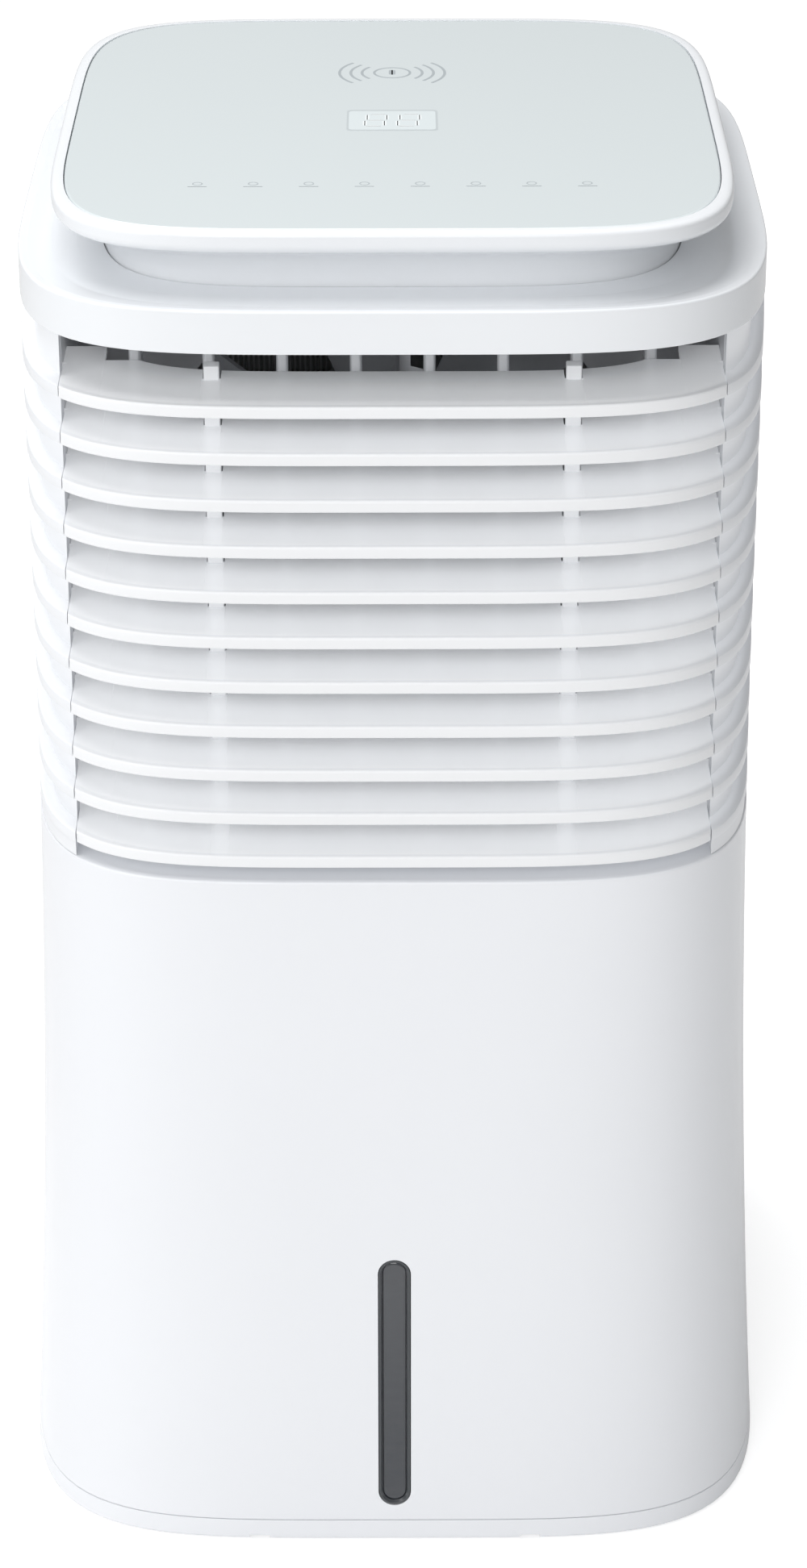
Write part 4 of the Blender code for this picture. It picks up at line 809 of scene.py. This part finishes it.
# ---- upright vanes
def buildVanes():
    vane = {"nose": 2.2 * mm, "body": 1.1 * mm, "tail": 0.66 * mm}
    low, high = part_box("vane_5")
    outline = [(-vane["tail"], high.y, 0.3 * mm), (-vane["body"], high.y - 6 * mm, 0),
               (-vane["body"], low.y + 9 * mm, 0), (-vane["nose"], low.y + 2.5 * mm, 0.8 * mm),
               (-vane["nose"] * 0.7, low.y, 1.0 * mm), (vane["nose"] * 0.7, low.y, 1.0 * mm),
               (vane["nose"], low.y + 2.5 * mm, 0.8 * mm), (vane["body"], low.y + 9 * mm, 0),
               (vane["body"], high.y - 6 * mm, 0), (vane["tail"], high.y, 0.3 * mm)]
    link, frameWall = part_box("vane_link"), 3.0 * mm
    pivotY, crankY = -84 * mm, -66 * mm
    foot, head = low.z + frameWall, high.z - frameWall
    shape = bmesh.new()
    section = rounded(outline, 4)
    addLoft(shape, [[(u, v, z) for u, v in section] for z in (foot, head)])
    piece = fromBmesh("vanePattern", shape, "vane")

    def notch(tool):
        boxShape(tool, (-0.005, crankY - 3.6 * mm, link[0].z - 0.5 * mm),
                 (0.005, high.y + 0.005, link[1].z + 0.5 * mm))
    trim(piece, "DIFFERENCE", notch)
    shape = bmesh.new()
    shape.from_mesh(piece.data)
    turnedShape(shape, "Z", (0, pivotY), [(low.z, 1.3 * mm), (foot + 1 * mm, 1.3 * mm)], 16)
    turnedShape(shape, "Z", (0, pivotY), [(head - 1 * mm, 1.3 * mm), (high.z, 1.3 * mm)], 16)
    turnedShape(shape, "Z", (0, crankY),
                [(link[0].z - 1.5 * mm, 0.9 * mm), (link[1].z + 1.5 * mm, 0.9 * mm)], 16)
    drop(piece)
    pattern = fromBmesh("vanePattern", shape, "vane")
    for index in range(1, 9):
        node = f"vane_{index}"
        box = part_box(node)
        start = ((box[0].x + box[1].x) / 2, 0, 0)
        piece = repeated(f"uprightVane{index}", pattern, 1, start, (0, 0, 0), "vane")
        settle(piece, node, "grey_plastic", node)
    drop(pattern)
    print("vanes: 8")


# ---- collar, neck, rim and glass
def buildTop():
    top = {"neckInset": 30.5 * mm, "rimInset": 13.2 * mm, "glassInset": 18 * mm, "glassPower": 5.4,
           "wall": 2.5 * mm,
           "bend": [(drop * mm, share) for drop, share in (
               (24.1, 0.0), (20.1, 0.03), (16.1, 0.11), (13.1, 0.24), (10.8, 0.45), (9.2, 0.68), (8.0, 0.86),
               (6.6, 0.96), (5.0, 1.0), (1.8, 1.0), (0.5, 0.96), (0.0, 0.88))]}
    low, high = collarLow.z, collarHigh.z
    neck = top["neckInset"] - 0.3 * mm
    section = [(0, low, 0.5 * mm), (0, high, 0.9 * mm), (3.6 * mm, high - 0.5 * mm, 3 * mm),
               (12 * mm, high - 2.4 * mm, 6 * mm), (21 * mm, high - 2.3 * mm, 6 * mm),
                (neck, high - 1.2 * mm, 0.4 * mm),
               (neck, high - 5 * mm, 0), (12 * mm, high - 5.5 * mm, 0), (3.5 * mm, high - 4.5 * mm, 0),
               (top["wall"], low, 0.3 * mm)]
    collar = planShell("collar", section, "shellTop")
    settle(collar, "housing", "white_shell", "collar")

    headLow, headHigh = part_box("head_housing")
    glassLow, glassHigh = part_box("glass_panel")
    span = top["neckInset"] - top["rimInset"]
    start = headHigh.z - top["bend"][0][0]
    outer = [(top["neckInset"], headLow.z)]
    smooth = top["bend"]
    for index in range(len(smooth) - 1):
        a, b, c, d = (smooth[max(0, min(len(smooth) - 1, index + k))] for k in (-1, 0, 1, 2))
        for part in range(4):
            t = part / 4
            point = [0.5 * (2 * b[k] + (c[k] - a[k]) * t + (2 * a[k] - 5 * b[k] + 4 * c[k] - d[k]) * t * t
                            + (3 * b[k] - a[k] - 3 * c[k] + d[k]) * t ** 3) for k in (0, 1)]
            outer.append((top["neckInset"] - span * min(1.0, point[1]), headHigh.z - max(0.0, point[0])))
    outer.append((top["neckInset"] - span * smooth[-1][1], headHigh.z))
    crown = headHigh.z
    seat = top["glassInset"] - 0.35 * mm
    lowSeat = glassLow.z - 0.3 * mm
    inner = rounded([(seat, crown, 0.3 * mm), (seat, lowSeat, 0.2 * mm), (seat + 8 * mm, lowSeat, 0.3 * mm),
                     (seat + 9 * mm, lowSeat - 3 * mm, 0), (top["neckInset"] + 1.5 * mm, start + 12 * mm, 0),
                     (top["neckInset"] + top["wall"], start + 4 * mm, 0),
                     (top["neckInset"] + top["wall"], headLow.z, 0)], 3, closed=False)
    shape = bmesh.new()
    rings = []
    for inset, z in outer + inner:
        rise = min(1.0, max(0.0, (top["neckInset"] - inset) / (top["neckInset"] - seat)))
        power = round(plan["power"] + (top["glassPower"] - plan["power"]) * rise, 2)
        nearGlass = z > start + 16 * mm
        if inset > top["neckInset"] or (nearGlass and z < lowSeat + 1 * mm and inset > seat + 1 * mm):
            power = top["glassPower"] if nearGlass else plan["power"]
        rings.append(planRing(z, inset, power))
    addLoft(shape, rings, closed=True)
    head = fromBmesh("headHousing", shape, "shellTop", 40.0)
    settle(head, "housing", "white_shell", "head_housing")

    face = glassHigh.z - 0.1 * mm
    inset = top["glassInset"]
    edge = rounded([(inset, glassLow.z, 0.3 * mm), (inset, face, 0.7 * mm), (inset + 5 * mm, face, 0)], 5,
                   closed=False)
    shape = bmesh.new()
    addLoft(shape, [planRing(z, depth, top["glassPower"]) for depth, z in edge])
    glass = fromBmesh("glassPanel", shape, "glass")
    settle(glass, "housing", "top_glass", "glass_panel")
    print("top: collar, head and glass")
    return face


# ---- printed signs on the glass, as thin raised shapes
def buildPrints(face):
    ink = {"thick": 0.03 * mm, "line": 0.8 * mm}
    lift = face + ink["thick"]

    def flat(shape, outline):
        addLoft(shape, [[(x, y, z) for x, y in outline] for z in (face - 0.02 * mm, lift)])

    def bar(shape, cx, cy, width, height, radius=None):
        r = min(width, height) / 2 * 0.98 if radius is None else radius
        flat(shape, rounded([(cx - width / 2, cy - height / 2, r), (cx + width / 2, cy - height / 2, r),
                             (cx + width / 2, cy + height / 2, r), (cx - width / 2, cy + height / 2, r)], 5))

    def arc(shape, cx, cy, radius, first, last, line, steps=28, squash=1.0):
        points = []
        for r, order in ((radius + line / 2, 1), (radius - line / 2, -1)):
            for step in range(steps + 1)[::order]:
                angle = math.radians(first + (last - first) * step / steps)
                points.append((cx + r * math.cos(angle), cy + r * math.sin(angle) * squash))
        flat(shape, points)

    sign = {"y": 58.8 * mm, "ring": 7.0 * mm, "steps": 4.4 * mm, "waves": 3, "spread": 42}
    shape = bmesh.new()
    for half in (0, 180):
        arc(shape, 0, sign["y"], sign["ring"], half, half + 180, 1.0 * mm)
        for wave in range(sign["waves"]):
            radius = sign["ring"] + sign["steps"] * (wave + 1) + 0.4 * mm
            arc(shape, 0, sign["y"], radius, half - sign["spread"], half + sign["spread"], 1.1 * mm)
    bar(shape, 0, sign["y"] + 0.6 * mm, 2.6 * mm, 6.2 * mm)
    charging = fromBmesh("chargingSign", shape, "print")
    settle(charging, "housing", "top_glass")

    screen = {"y": -4.6 * mm, "width": 34.4 * mm, "height": 27 * mm}
    shape = bmesh.new()
    bar(shape, 0, screen["y"], screen["width"], screen["height"], 2.4 * mm)
    border = fromBmesh("displayBorder", shape, "printSoft")
    settle(border, "housing", "top_glass")
    lift += 0.01 * mm
    shape = bmesh.new()
    bar(shape, 0, screen["y"], screen["width"] - 1.6 * mm, screen["height"] - 3.2 * mm, 1.8 * mm)
    window = fromBmesh("displayWindow", shape, "printWindow")
    settle(window, "housing", "top_glass")
    lift += 0.01 * mm
    digit = {"width": 7.4 * mm, "height": 15 * mm, "line": 1.5 * mm, "apart": 12.4 * mm, "slant": 0.12}
    shape = bmesh.new()
    for centre in (-digit["apart"] / 2, digit["apart"] / 2):
        for row in (-1, 0, 1):
            y = screen["y"] + row * digit["height"] / 2
            bar(shape, centre + digit["slant"] * (y - screen["y"]), y, digit["width"] * 0.72, digit["line"])
        for column in (-1, 1):
            for row in (-0.5, 0.5):
                y = screen["y"] + row * digit["height"] / 2
                bar(shape, centre + column * digit["width"] / 2 + digit["slant"] * (y - screen["y"]), y,
                    digit["line"], digit["height"] * 0.4)
    digits = fromBmesh("displayDigits", shape, "printPale")
    settle(digits, "housing", "top_glass")
    lift -= 0.02 * mm

    keys = {"count": 8, "pitch": 20.1 * mm, "y": -83 * mm, "size": 3.4 * mm}
    shape = bmesh.new()
    for half in (0, 180):
        arc(shape, 0, 0.8 * mm, keys["size"] / 2, half + 4, half + 176, 0.45 * mm, 14)
    bar(shape, 0, -2.6 * mm, 7.0 * mm, 0.6 * mm)
    pattern = fromBmesh("keyPattern", shape, "print")
    first = -(keys["count"] - 1) / 2 * keys["pitch"]
    keyMarks = repeated("keyMarks", pattern, keys["count"], (first, keys["y"], 0), (keys["pitch"], 0, 0),
                        "print")
    settle(keyMarks, "housing", "top_glass")
    drop(pattern)
    print("glass: charging sign, display and keys")


# ---- level window
def buildWindow():
    window = {"rim": 1.5 * mm, "bevel": 0.9 * mm, "depth": 2.6 * mm}
    low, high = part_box("window_bezel")
    half = high.x
    rim, bevel, depth = window["rim"], window["bevel"], window["depth"]
    ring = []
    for inset, back in rounded([(0, depth + 1.5 * mm, 0), (0, 0.1 * mm, 0.3 * mm),
                                (rim * 0.45, 0.1 * mm, 0.3 * mm), (rim, 0.1 * mm + bevel, 0.2 * mm),
                                (rim, depth + 1.5 * mm, 0)], 3):
        ring.append(slotRing(half - inset, low.z + inset, high.z - inset, back))
    shape = bmesh.new()
    addLoft(shape, ring, closed=True)
    bezel = fromBmesh("windowBezel", shape, "dark")
    settle(bezel, "housing", "dark_plastic", "window_bezel")
    inset = rim + 0.2 * mm
    section = [(inset, depth), (inset, 1.3 * mm), (inset + 0.4 * mm, 1.05 * mm), (inset + 1.2 * mm, 1.0 * mm)]
    shape = bmesh.new()
    addLoft(shape, [slotRing(half - gap, low.z + gap, high.z - gap, back) for gap, back in section])
    lens = fromBmesh("windowLens", shape, "lens")
    settle(lens, "housing", "smoked_lens", "window_lens")
    print("window: rim and smoked lens")


# ---- back: grille, filter, tank, inlet, bung and screws
def rearY(x, z, inset=0.0):
    return edgeDepth(x, halfWidth(z) - inset, halfWidth(z) * plan["depthRatio"] - inset, plan["power"])


# A curved plate that follows the back, with rounded corners and edge, made of rows across
def rearBar(shape, left, right, z, height, front, edge, columns=40):
    rings = []
    outline = rounded([(0, -height / 2, edge), (0, height / 2, edge), (front, height / 2, edge * 0.4),
                       (front, -height / 2, edge * 0.4)], 3)
    for column in range(columns + 1):
        x = left + (right - left) * column / columns
        y = rearY(x, plan["flareTop"])
        rings.append([(x, y - u, z + v) for u, v in outline])
    addLoft(shape, rings)


def buildGrille():
    grille = {"wall": 2.5 * mm, "margin": 8 * mm, "slats": 14, "slat": 5.2 * mm, "corner": 6 * mm}
    low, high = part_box("rear_grille")
    section = [(0, low.z - 20 * mm, 0), (0, high.z + 20 * mm, 0), (grille["wall"], high.z + 20 * mm, 0),
               (grille["wall"], low.z - 20 * mm, 0)]
    piece = planShell("grilleFrame", section, "shell", longest=12 * mm)
    margin = grille["margin"]
    trim(piece, "INTERSECT", lambda shape: roundBox(shape, (low.x, 0.1, low.z), (high.x, 0.2, high.z),
                                                    grille["corner"], "Y"))
    trim(piece, "DIFFERENCE", lambda shape: roundBox(shape, (low.x + margin, 0.09, low.z + margin),
                                                     (high.x - margin, 0.21, high.z - margin), 3 * mm, "Y"))
    settle(piece, "air_filter", "white_shell", "rear_grille")
    shape = bmesh.new()
    rearBar(shape, low.x + margin - 1 * mm, high.x - margin + 1 * mm, 0, grille["slat"], grille["wall"],
            1 * mm)
    pattern = fromBmesh("slatPattern", shape, "shell")
    inside = high.z - low.z - 2 * margin
    pitch = inside / grille["slats"]
    start = (0, -0.1 * mm, low.z + margin + pitch / 2)
    slats = repeated("grilleSlats", pattern, grille["slats"], start, (0, 0, pitch), "shell")
    settle(slats, "air_filter", "white_shell")
    drop(pattern)
    shape = bmesh.new()
    skin = rearY(high.x / 2, plan["flareTop"])
    for x in (-0.5 * high.x, 0.5 * high.x):
        boxShape(shape, (x - 1.5 * mm, skin - 6 * mm, low.z + margin - 1 * mm),
                 (x + 1.5 * mm, skin - 2.7 * mm, high.z - margin + 1 * mm))
    ribs = fromBmesh("grilleRibs", shape, "shell")
    settle(ribs, "air_filter", "white_shell")
    print("grille: frame,", grille["slats"], "slats and ribs")


def buildFilter():
    screen = {"thread": 0.5 * mm, "pitch": 3.0 * mm, "rim": 4 * mm, "rib": 2.4 * mm, "columns": 4, "rows": 3}
    low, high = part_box("filter_screen")
    shape = bmesh.new()
    rim = screen["rim"]
    width, height = high.x - low.x, high.z - low.z
    front = low.y + 1.2 * mm
    for x in (low.x, high.x - rim):
        roundBox(shape, (x, low.y, low.z), (x + rim, high.y, high.z), 0.8 * mm, "Y", 0.4 * mm)
    for z in (low.z, high.z - rim):
        roundBox(shape, (low.x + rim, low.y, z), (high.x - rim, high.y, z + rim), 0.8 * mm, "Y", 0.4 * mm)
    for column in range(1, screen["columns"]):
        x = low.x + width * column / screen["columns"]
        boxShape(shape, (x - screen["rib"] / 2, low.y, low.z + rim),
                 (x + screen["rib"] / 2, front + 4 * mm, high.z - rim))
    for row in range(1, screen["rows"]):
        z = low.z + height * row / screen["rows"]
        boxShape(shape, (low.x + rim, low.y + 0.1 * mm, z - screen["rib"] / 2),
                 (high.x - rim, front + 3.9 * mm, z + screen["rib"] / 2))
    holder = fromBmesh("filterFrame", shape, "inner")
    settle(holder, "air_filter", "filter_mesh", "filter_screen")
    inner = (width - 2 * rim, height - 2 * rim)
    thread, pitch = screen["thread"], screen["pitch"]
    for name, size, step, count in (
            ("filterWarp", (thread, inner[1]), (pitch, 0, 0), int(inner[0] / pitch)),
            ("filterWeft", (inner[0], thread), (0, 0, pitch), int(inner[1] / pitch))):
        shape = bmesh.new()
        offset = 0.0 if name == "filterWarp" else screen["thread"]
        boxShape(shape, (0, front + offset, 0), (size[0], front + offset + screen["thread"], size[1]))
        pattern = fromBmesh("threadPattern", shape, "mesh")
        start = [low.x + rim, 0, low.z + rim]
        start[0 if name == "filterWarp" else 2] += screen["pitch"] / 2
        threads = repeated(name, pattern, count, tuple(start), step, "mesh")
        settle(threads, "air_filter", "filter_mesh")
        drop(pattern)
    print("filter: frame and threads")


def tankRing(half, low, high, corner, z):
    points = []
    for side, first in ((-1, 180.0), (1, 270.0)):
        for step in range(13):
            angle = math.radians(first + 90.0 * step / 12)
            points.append((side * (half - corner) + corner * math.cos(angle),
                           low + corner + corner * math.sin(angle), z))
    return points + [(half, high, z), (-half, high, z)]


def buildTank():
    tank = {"wall": 2.5 * mm, "floor": 2.6 * mm, "corner": 30 * mm, "back": 130 * mm,
            "pullHalf": 45 * mm, "pullLow": 92 * mm, "pullHigh": 120 * mm, "pullDepth": 15 * mm}
    low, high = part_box("tank")
    lidLow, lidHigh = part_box("tank_lid")
    rim = lidLow.z + 18.7 * mm
    wall = tank["wall"]
    shape = bmesh.new()
    rings = [tankRing(high.x - 0.8 * mm, low.y + 0.8 * mm, tank["back"] + 3 * mm, tank["corner"], low.z)]
    rings += [tankRing(high.x, low.y, tank["back"] + 3 * mm, tank["corner"], z)
              for z in (low.z + 0.8 * mm, rim)]
    rings += [tankRing(high.x - wall, low.y + wall, tank["back"], tank["corner"] - wall, z)
              for z in (rim, low.z + tank["floor"])]
    addLoft(shape, rings)
    box = fromBmesh("tankBox", shape, "tank")
    settle(box, "water_tank", "tank_plastic", "tank")

    section = [(0, low.z, 0.6 * mm), (0, high.z, 0.8 * mm), (22 * mm, high.z, 0), (22 * mm, low.z, 0)]
    fascia = planShell("tankFascia", section, "shell")
    trim(fascia, "INTERSECT", lambda tool: boxShape(tool, (low.x, tank["back"] + 3.2 * mm, low.z - 0.01),
                                                    (high.x, 0.2, high.z + 0.01)))
    trim(fascia, "DIFFERENCE", lambda tool: roundBox(
        tool, (-tank["pullHalf"], high.y - tank["pullDepth"] - 8 * mm, tank["pullLow"]),
        (tank["pullHalf"], high.y + 0.02, tank["pullHigh"]), 8 * mm, "Y", 1 * mm))
    settle(fascia, "water_tank", "white_shell")

    lid = lidLow.z + 19.3 * mm
    shape = bmesh.new()
    back = lidHigh.y
    addLoft(shape, [tankRing(high.x - inset, low.y + inset, back - inset, tank["corner"], z)
                    for z, inset in ((lid, 0.0), (lidHigh.z - 0.6 * mm, 0.0), (lidHigh.z, 0.6 * mm))])
    cover = fromBmesh("tankLid", shape, "shell")
    trim(cover, "DIFFERENCE", lambda tool: turnedShape(tool, "Z", (70 * mm, 88 * mm),
                                                       [(lid - 0.01, 12 * mm), (lidHigh.z + 0.01, 12 * mm)]))
    settle(cover, "water_tank", "white_shell", "tank_lid")
    shape = bmesh.new()
    for x in (-73 * mm, -47 * mm):
        roundBox(shape, (x - 1.5 * mm, 94 * mm, lidLow.z), (x + 1.5 * mm, 106 * mm, lid + 0.2 * mm),
                 1 * mm, "X")
    ears = fromBmesh("floatEars", shape, "shell")
    settle(ears, "water_tank", "white_shell")
    print("tank: box, fascia, lid and float ears")


def buildRearFittings():
    inletLow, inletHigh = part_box("power_inlet")
    rim = {"corner": 2 * mm, "edge": 0.5 * mm, "wallX": 3.7 * mm, "wallZ": 3.8 * mm, "hollowCorner": 6.3 * mm,
           "depth": 18 * mm}
    middle = (inletLow + inletHigh) / 2

    def inletRing(insetX, insetZ, corner, y):
        left, right = inletLow.x + insetX, inletHigh.x - insetX
        foot, head = inletLow.z + insetZ, inletHigh.z - insetZ
        outline = rounded([(left, foot, corner), (right, foot, corner), (right, head, corner),
                           (left, head, corner)], 6)
        return [(x, y, z) for x, z in outline]

    edge, back = rim["edge"], inletHigh.y
    shape = bmesh.new()
    addLoft(shape, [inletRing(0, 0, rim["corner"], inletLow.y), inletRing(0, 0, rim["corner"], back - edge),
                    inletRing(edge, edge, rim["corner"], back),
                    inletRing(rim["wallX"], rim["wallZ"], rim["hollowCorner"], back),
                    inletRing(rim["wallX"], rim["wallZ"], rim["hollowCorner"], back - rim["depth"])])
    inlet = fromBmesh("powerInlet", shape, "dark")
    settle(inlet, "housing", "dark_plastic", "power_inlet")
    shape = bmesh.new()
    for side in (-1, 1):
        turnedShape(shape, "Y", (middle.x + side * 4.5 * mm, middle.z),
                    [(back - 20 * mm, 1.3 * mm), (back - 5.5 * mm, 1.3 * mm), (back - 5 * mm, 0.7 * mm)], 20)
    contacts = fromBmesh("inletPins", shape, "steel")
    settle(contacts, "housing", "steel")

    low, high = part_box("drain_bung")
    centre = ((low.x + high.x) / 2, (low.z + high.z) / 2)
    section = rounded([(low.y, 0.5 * mm, 0), (low.y, 7.5 * mm, 0.5 * mm), (low.y + 8 * mm, 9 * mm, 1 * mm),
                       (high.y - 2.8 * mm, 9 * mm, 0.3 * mm), (high.y - 2.8 * mm, 12 * mm, 0.5 * mm),
                       (high.y, 12 * mm, 0.9 * mm), (high.y, 8 * mm, 0.3 * mm),
                       (high.y - 0.8 * mm, 7 * mm, 0.3 * mm), (high.y - 0.8 * mm, 0.5 * mm, 0)], 3,
                      closed=False)
    shape = bmesh.new()
    turnedShape(shape, "Y", centre, section)
    bung = fromBmesh("drainBung", shape, "rubber")
    settle(bung, "drain_bung", "rubber", "drain_bung")

    screw = {"head": 3.4 * mm, "tall": 1.2 * mm, "cross": 0.5 * mm, "z": 300 * mm, "x": 78 * mm}
    shape = bmesh.new()
    section = rounded([(-2 * mm, 1.6 * mm, 0), (0, 1.6 * mm, 0), (0, screw["head"], 0.2 * mm),
                       (screw["tall"], screw["head"] * 0.8, 0.6 * mm), (screw["tall"], 0.2 * mm, 0)], 4,
                      closed=False)
    turnedShape(shape, "Y", (0, 0), section, 32)
    pattern = fromBmesh("screwPattern", shape, "steel")
    slot, reach = screw["cross"], 2 * mm
    for x, z in ((slot, reach), (reach, slot)):
        trim(pattern, "DIFFERENCE", lambda tool: boxShape(tool, (-x, 0.4 * mm, -z), (x, 3 * mm, z)))
    y = rearY(screw["x"], screw["z"])
    screws = repeated("rearScrews", pattern, 2, (-screw["x"], y - 0.4 * mm, screw["z"]),
                      (2 * screw["x"], 0, 0), "steel")
    settle(screws, "housing", "steel")
    drop(pattern)
    print("back: inlet, bung and screws")


# ---- carried-over pieces get their finish
def finishFrame():
    carried = {
        "frameWhite": ["outlet_frame"],
        "duct": ["fan_shroud", "mid_deck"],
        "inner": ["control_box", "drip_tray", "fan_wheel", "vane_link"],
        "shell": ["tank_float"],
        "rubber": ["foot_1", "foot_2", "foot_3", "foot_4", "compressor_pad"],
        "steel": ["fan_motor", "motor_bracket", "vane_motor"],
        "copper": ["suction_line", "discharge_line", "charging_coil"],
        "fins": ["condenser", "evaporator"],
        "blackPaint": ["compressor"],
        "board": ["display_board"],
    }
    for finish, names in carried.items():
        for name in names:
            slots = nodes[name].material_slots
            for slot in slots:
                slot.material = finishes[finish]
    print("frame: finishes on", sum(len(names) for names in carried.values()), "carried nodes")


setStudio()
buildBase()
buildLowerShell()
buildUpperShell()
buildCheeks()
buildBlades()
buildLinkBars()
buildVanes()
glassFace = buildTop()
buildPrints(glassFace)
buildWindow()
buildGrille()
buildFilter()
buildTank()
buildRearFittings()
finishFrame()
